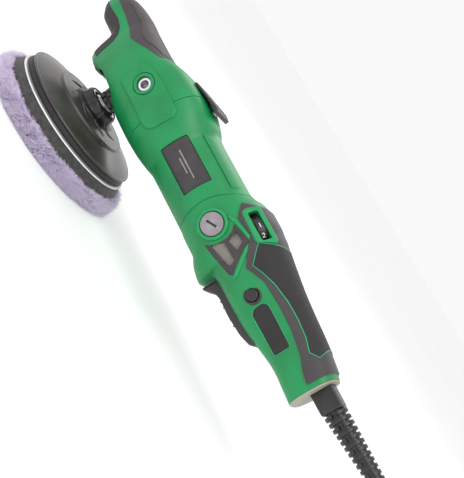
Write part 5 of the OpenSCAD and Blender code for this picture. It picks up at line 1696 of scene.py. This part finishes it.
@dataclass
class Lead:
    """Strain relief, mains cord laid in a tied coil, and the plug."""

    places: Places
    diameter: float = 8.0
    length_m: float = 2.39
    route: tuple = ((361, 0, 99.5), (372, 0, 100), (384, -1, 99), (396, -2, 95), (407, -4, 88), (417, -6, 78),
                    (425, -8, 67), (432, -11, 55), (439, -14, 43), (447, -17, 32), (457, -20, 22), (468, -23, 14),
                    (480, -26, 8.5), (493, -27.5, 6), (506, -28, 5.4))
    tail: tuple = ((521, -11.9, 21.8), (528, -11, 25.5), (537, -8.5, 29.5), (546, -4, 32.4), (554, 3, 33.9),
                   (559, 11, 34.2), (561.5, 19, 34.2), (562, 26, 34.2))
    coil_at: tuple[float, float] = (520.0, 22.0)
    coil_outer: float = 50.0
    step: float = 8.1
    lowest: float = 5.4
    turns: int = 8

    def coil(self) -> np.ndarray:
        """Points of the coil: rings of three radii and three heights.

        The radius and the height change only in sixth-of-a-turn shifts, by a smooth step of the angle.
        Each layer shifts a little earlier in its turns than the one below, so no two runs meet.

        Returns:
            The points, one row each, every fifteen degrees.
        """
        shifts = ((300, -1, 0), (660, -1, 0), (960, 0, 1), (1260, 1, 0), (1620, 1, 0), (1920, 0, 1), (2220, -1, 0),
                  (2580, -1, 0))
        turned = np.arange(15, self.turns * 360, 15, dtype=float)
        radius, height = np.full_like(turned, self.coil_outer), np.full_like(turned, self.lowest)
        for start, inwards, upwards in shifts:
            t = np.clip((turned - start) / 60, 0, 1)
            smooth = t * t * (3 - 2 * t) * self.step
            radius += inwards * smooth
            height += upwards * smooth
        a = np.radians(turned - 90)
        return np.stack([self.coil_at[0] + radius * np.cos(a), self.coil_at[1] + radius * np.sin(a), height], 1)

    def build(self) -> None:
        """Builds the relief, the cord, its tie and the plug."""
        self.relief()
        plug = self.plug()
        strap = self.strap()
        path = spline(np.vstack([self.route, self.coil(), self.tail]), 2.5)
        length = np.linalg.norm(np.diff(path, axis=0), axis=1).sum() * MM
        LOG.info("cord: %.3f m", length)
        cord = make_piece("mains_lead", [tube(path, self.diameter / 2, 14)], CORD_RUBBER, "housing",
                          ("power_cord", "cord_coil"), 60)

    def relief(self) -> None:
        """Block at the tail and the ribbed sleeve that grows out of it.

        The sleeve's ribs are flat rings, thick at the block and thinner towards the cord. Each is open on
        two sides, and neighbours are a quarter turn apart.
        """
        p = self.places
        x0, z = p.relief_x, 8.0
        corners = [(x0, z - 8.5), (x0 + 20.5, z - 8.3), (x0 + 21.5, z - 7.4), (x0 + 21.5, z + 7.6),
                   (x0 + 20.5, z + 8.4), (x0, z + 8.5)]
        block = prism(resampled(rounded(corners, 1.2), 80) + [0, p.axis], -8.4, 8.4, 1.4)
        start = np.array([x0 + 22.0, 0, p.axis + z])
        end = np.array(self.route[0], float)
        way = (end - start) / np.linalg.norm(end - start)
        run = float(np.linalg.norm(end - start))
        pitch, solids = 4.6, [block]
        core = np.linspace(-1.5, run, 40)
        solids.append(tube(start + core[:, None] * way, np.interp(core, [-1.5, run], [6.4, 5.0]), 32))
        up = np.array([-way[2], 0, way[0]])
        basis = np.stack([np.cross(up, way), up, way])
        for k in range(12):
            h = 0.6 + pitch * k
            outer = 8.9 - 3.0 * h / run
            profile = rounded([(4.6, h), (outer, h), (outer, h + 2.7), (4.6, h + 2.7)], 0.35)

            def notched(r: np.ndarray, height: np.ndarray, a: np.ndarray, odd: int = k % 2) -> np.ndarray:
                gap = np.abs(np.sin(a + odd * np.pi / 2)) < 0.24
                return np.where(gap & (r > 5.2), 5.2, r)

            solids.append(lathed(profile, 96, notched).placed(basis, start))
        make_piece("relief_sleeve", solids, BLACK_NYLON, "housing", ("strain_relief",), 28)

    def strap(self) -> bpy.types.Object:
        """Woven strap round the coil's turns."""
        near = self.coil_outer - 2 * self.step - self.diameter / 2 - 1.0
        far = self.coil_outer + self.diameter / 2 + 0.4
        low, high = self.lowest - self.diameter / 2 - 0.7, self.lowest + 2 * self.step + self.diameter / 2 + 0.7
        loop = rounded([(near, low + 0.3), (far, low + 0.3), (far, high), (near, high)], 3.0, steps=8)
        inner = drawn_in(loop, np.full(len(loop), 0.7))
        y = np.linspace(-6, 6, 9)
        outer_sheet = np.stack([np.stack([self.coil_at[0] - q[:, 0], np.full(len(q), self.coil_at[1] + v), q[:, 1]], 1)
                                for q, v in ((loop, w) for w in y)])
        inner_sheet = np.stack([np.stack([self.coil_at[0] - q[:, 0], np.full(len(q), self.coil_at[1] + v), q[:, 1]], 1)
                                for q, v in ((inner, w) for w in y)])
        solid = solid_between(outer_sheet, inner_sheet, True)
        return make_piece("coil_strap", [solid], HOOK_TAPE, "housing", ("coil_tie",), 50)

    def plug(self) -> bpy.types.Object:
        """Two-pin mains plug: a waisted body, a ribbed tail and round pins."""
        end = np.array(self.tail[-1], float)
        basis = np.array([[1, 0, 0], [0, 0, 1], [0, 1, 0]], float)
        stations = np.array([0, 4, 9, 12, 16, 22, 30, 36, 37])
        h = np.linspace(0, 37, 40)
        half_w = monotone(h, stations, np.array([5.0, 5.6, 6.4, 8.5, 13.5, 15.6, 15.9, 15.6, 14.9]))
        half_t = monotone(h, stations, np.array([5.0, 5.6, 6.4, 7.2, 7.8, 8, 8, 7.8, 7.2]))
        a = np.linspace(0, 2 * np.pi, 64, endpoint=False)
        power = 2 / 3.2
        c, s = np.sign(np.cos(a)) * np.abs(np.cos(a)) ** power, np.sign(np.sin(a)) * np.abs(np.sin(a)) ** power
        rings = np.stack([half_w[:, None] * c, half_t[:, None] * s, np.broadcast_to(h[:, None], (40, 64))], -1)
        body = stacked(rings).placed(basis, end)
        ring = rounded([(4.5, 0), (6.9, 0), (6.9, 1.4), (4.5, 1.4)], 0.4)
        ribs = [lathed(ring + [0, k], 48).placed(basis, end) for k in (2.0, 5.0, 8.0)]
        piece = make_piece("plug_body", [body, *ribs], CORD_RUBBER, "housing", ("mains_plug",))
        pin = poled(rounded([(0, 36), (2.4, 36), (2.4, 54.6), (1.6, 55.8), (0, 55.8)], 0.5))
        sleeve = rounded([(2.0, 36), (2.42, 36), (2.42, 45), (2.0, 45)], 0.1)
        for name, x in (("left", -9.5), ("right", 9.5)):
            bare, covered = (lathed(rows, 40).placed(basis, end + [x, 0, 0]) for rows in (pin, sleeve))
            metal = make_piece(f"plug_pin_{name}", [bare], NICKEL, "housing")
            cover = make_piece(f"plug_pin_sleeve_{name}", [covered], BLACK_NYLON, "housing")
            metal.parent, cover.parent = piece, piece
        return piece


# ---------------------------------------------------------------- what stays from the frame


KEPT_FINISHES = {
    "hook_face": HOOK_TAPE, "pad_bearing": NICKEL, "plate_screws": OXIDE_BLACK, "spindle": GROUND_STEEL,
    "bevel_gear": GROUND_STEEL, "gear_key": OXIDE_BLACK, "counterweight": OXIDE_BLACK, "pad_screw": OXIDE_BLACK,
    "armature_shaft": GROUND_STEEL, "armature_core": LAMINATIONS, "armature_windings": ENAMEL_WIRE,
    "commutator": COPPER, "cooling_fan": DARK_NYLON, "bevel_pinion": GROUND_STEEL, "lock_collar": OXIDE_BLACK,
    "gear_case": CAST_ALUMINIUM, "bearing_nose": CAST_ALUMINIUM, "spindle_bearings": NICKEL,
    "motor_bearings": NICKEL, "side_inserts": NICKEL, "stator_core": LAMINATIONS, "field_coils": ENAMEL_WIRE,
    "brush_holders": BRASS, "carbon_brushes": CARBON, "brush_springs": BRASS, "speed_board": BOARD,
    "switch_body": BLACK_NYLON, "housing_screws": OXIDE_BLACK, "cord_clamp": DARK_NYLON, "trigger_spring": GROUND_STEEL, "lock_pin": GROUND_STEEL,
}


def dress_kept_nodes(nodes: dict[str, bpy.types.Object]) -> None:
    """Gives each CAD node that stays its own finish.

    Args:
        nodes: The frame's nodes by name.
    """
    for name, finish in KEPT_FINISHES.items():
        obj = nodes[name]
        if obj.material_slots:
            for place in obj.material_slots:
                place.material = finish.material()
        else:
            obj.data.materials.append(finish.material())
        LOG.info("%s keeps its frame shape", name)


# ---------------------------------------------------------------- studio


@dataclass
class Studio:
    """Camera, soft lights and a plain pale floor."""

    eye: tuple = (381.9, -619.3, 205.2)
    right: tuple = (0.4432, 0.318, 0.8381)
    up: tuple = (-0.83, -0.2075, 0.5177)
    back: tuple = (0.3385, -0.9251, 0.1719)
    lens: float = 67.8

    def camera(self) -> None:
        """Places the camera."""
        data = bpy.data.cameras.new("camera")
        data.lens, data.sensor_width, data.clip_start, data.clip_end = self.lens, 36.0, 0.01, 100.0
        camera = bpy.data.objects.new("camera", data)
        bpy.context.scene.collection.objects.link(camera)
        turned = Matrix((self.right, self.up, self.back)).transposed().to_4x4()
        camera.matrix_world = Matrix.Translation(Vector(self.eye) * MM) @ turned
        bpy.context.scene.camera = camera

    def lights(self) -> None:
        """Large soft lamps and an even pale surround."""
        lamps = (("key", (0.25, -0.9, 1.5), (0.1, 0.0, 0.05), 0.9, 9.0),
                 ("fill", (1.0, -1.2, 0.4), (0.1, 0.0, 0.08), 1.2, 2.0),
                 ("rim", (-0.5, 1.0, 1.0), (0.1, 0.0, 0.08), 0.9, 4.0))
        for name, at, aim, size, power in lamps:
            data = bpy.data.lights.new(name, "AREA")
            data.shape, data.size, data.energy = "DISK", size, power
            lamp = bpy.data.objects.new(name, data)
            bpy.context.scene.collection.objects.link(lamp)
            turned = (Vector(at) - Vector(aim)).to_track_quat("Z", "Y").to_matrix().to_4x4()
            lamp.matrix_world = Matrix.Translation(at) @ turned
        world = bpy.data.worlds.new("pale_room")
        world.use_nodes = True
        world.node_tree.nodes["Background"].inputs["Color"].default_value = linear("#FFFFFF")
        world.node_tree.nodes["Background"].inputs["Strength"].default_value = 0.95
        bpy.context.scene.world = world
        bpy.context.scene.view_settings.view_transform = "Standard"

    def floor(self) -> None:
        """A wide pale floor, the surface that the pad and the cord lie on."""
        reach = 12000.0
        corners = np.array([[-reach, -reach, 0], [reach, -reach, 0], [reach, reach, 0], [-reach, reach, 0]])
        mesh = bpy.data.meshes.new("floor")
        mesh.from_pydata((corners * MM).tolist(), [], [[0, 1, 2, 3]])
        finish = Finish("pale_floor", "#FCFCFC", "#FAFAFA", 0.7, pitch_mm=3.0, depth_mm=0.01, mottle_mm=400)
        mesh.materials.append(finish.material())
        floor = bpy.data.objects.new("floor", mesh)
        bpy.context.scene.collection.objects.link(floor)


def main() -> None:
    """Builds the looks of the polisher round its frame."""
    logging.basicConfig(level=logging.INFO, format="%(name)s: %(message)s")
    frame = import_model()
    places = read_places(frame)
    studio = Studio()
    studio.camera()
    Lead(places).build()
    casing = Casing(places)
    casing.build()
    Controls(casing).build()
    Pad(places).build()
    dress_kept_nodes(frame["nodes"])
    studio.lights()
    studio.floor()


if __name__ == "__main__":
    main()
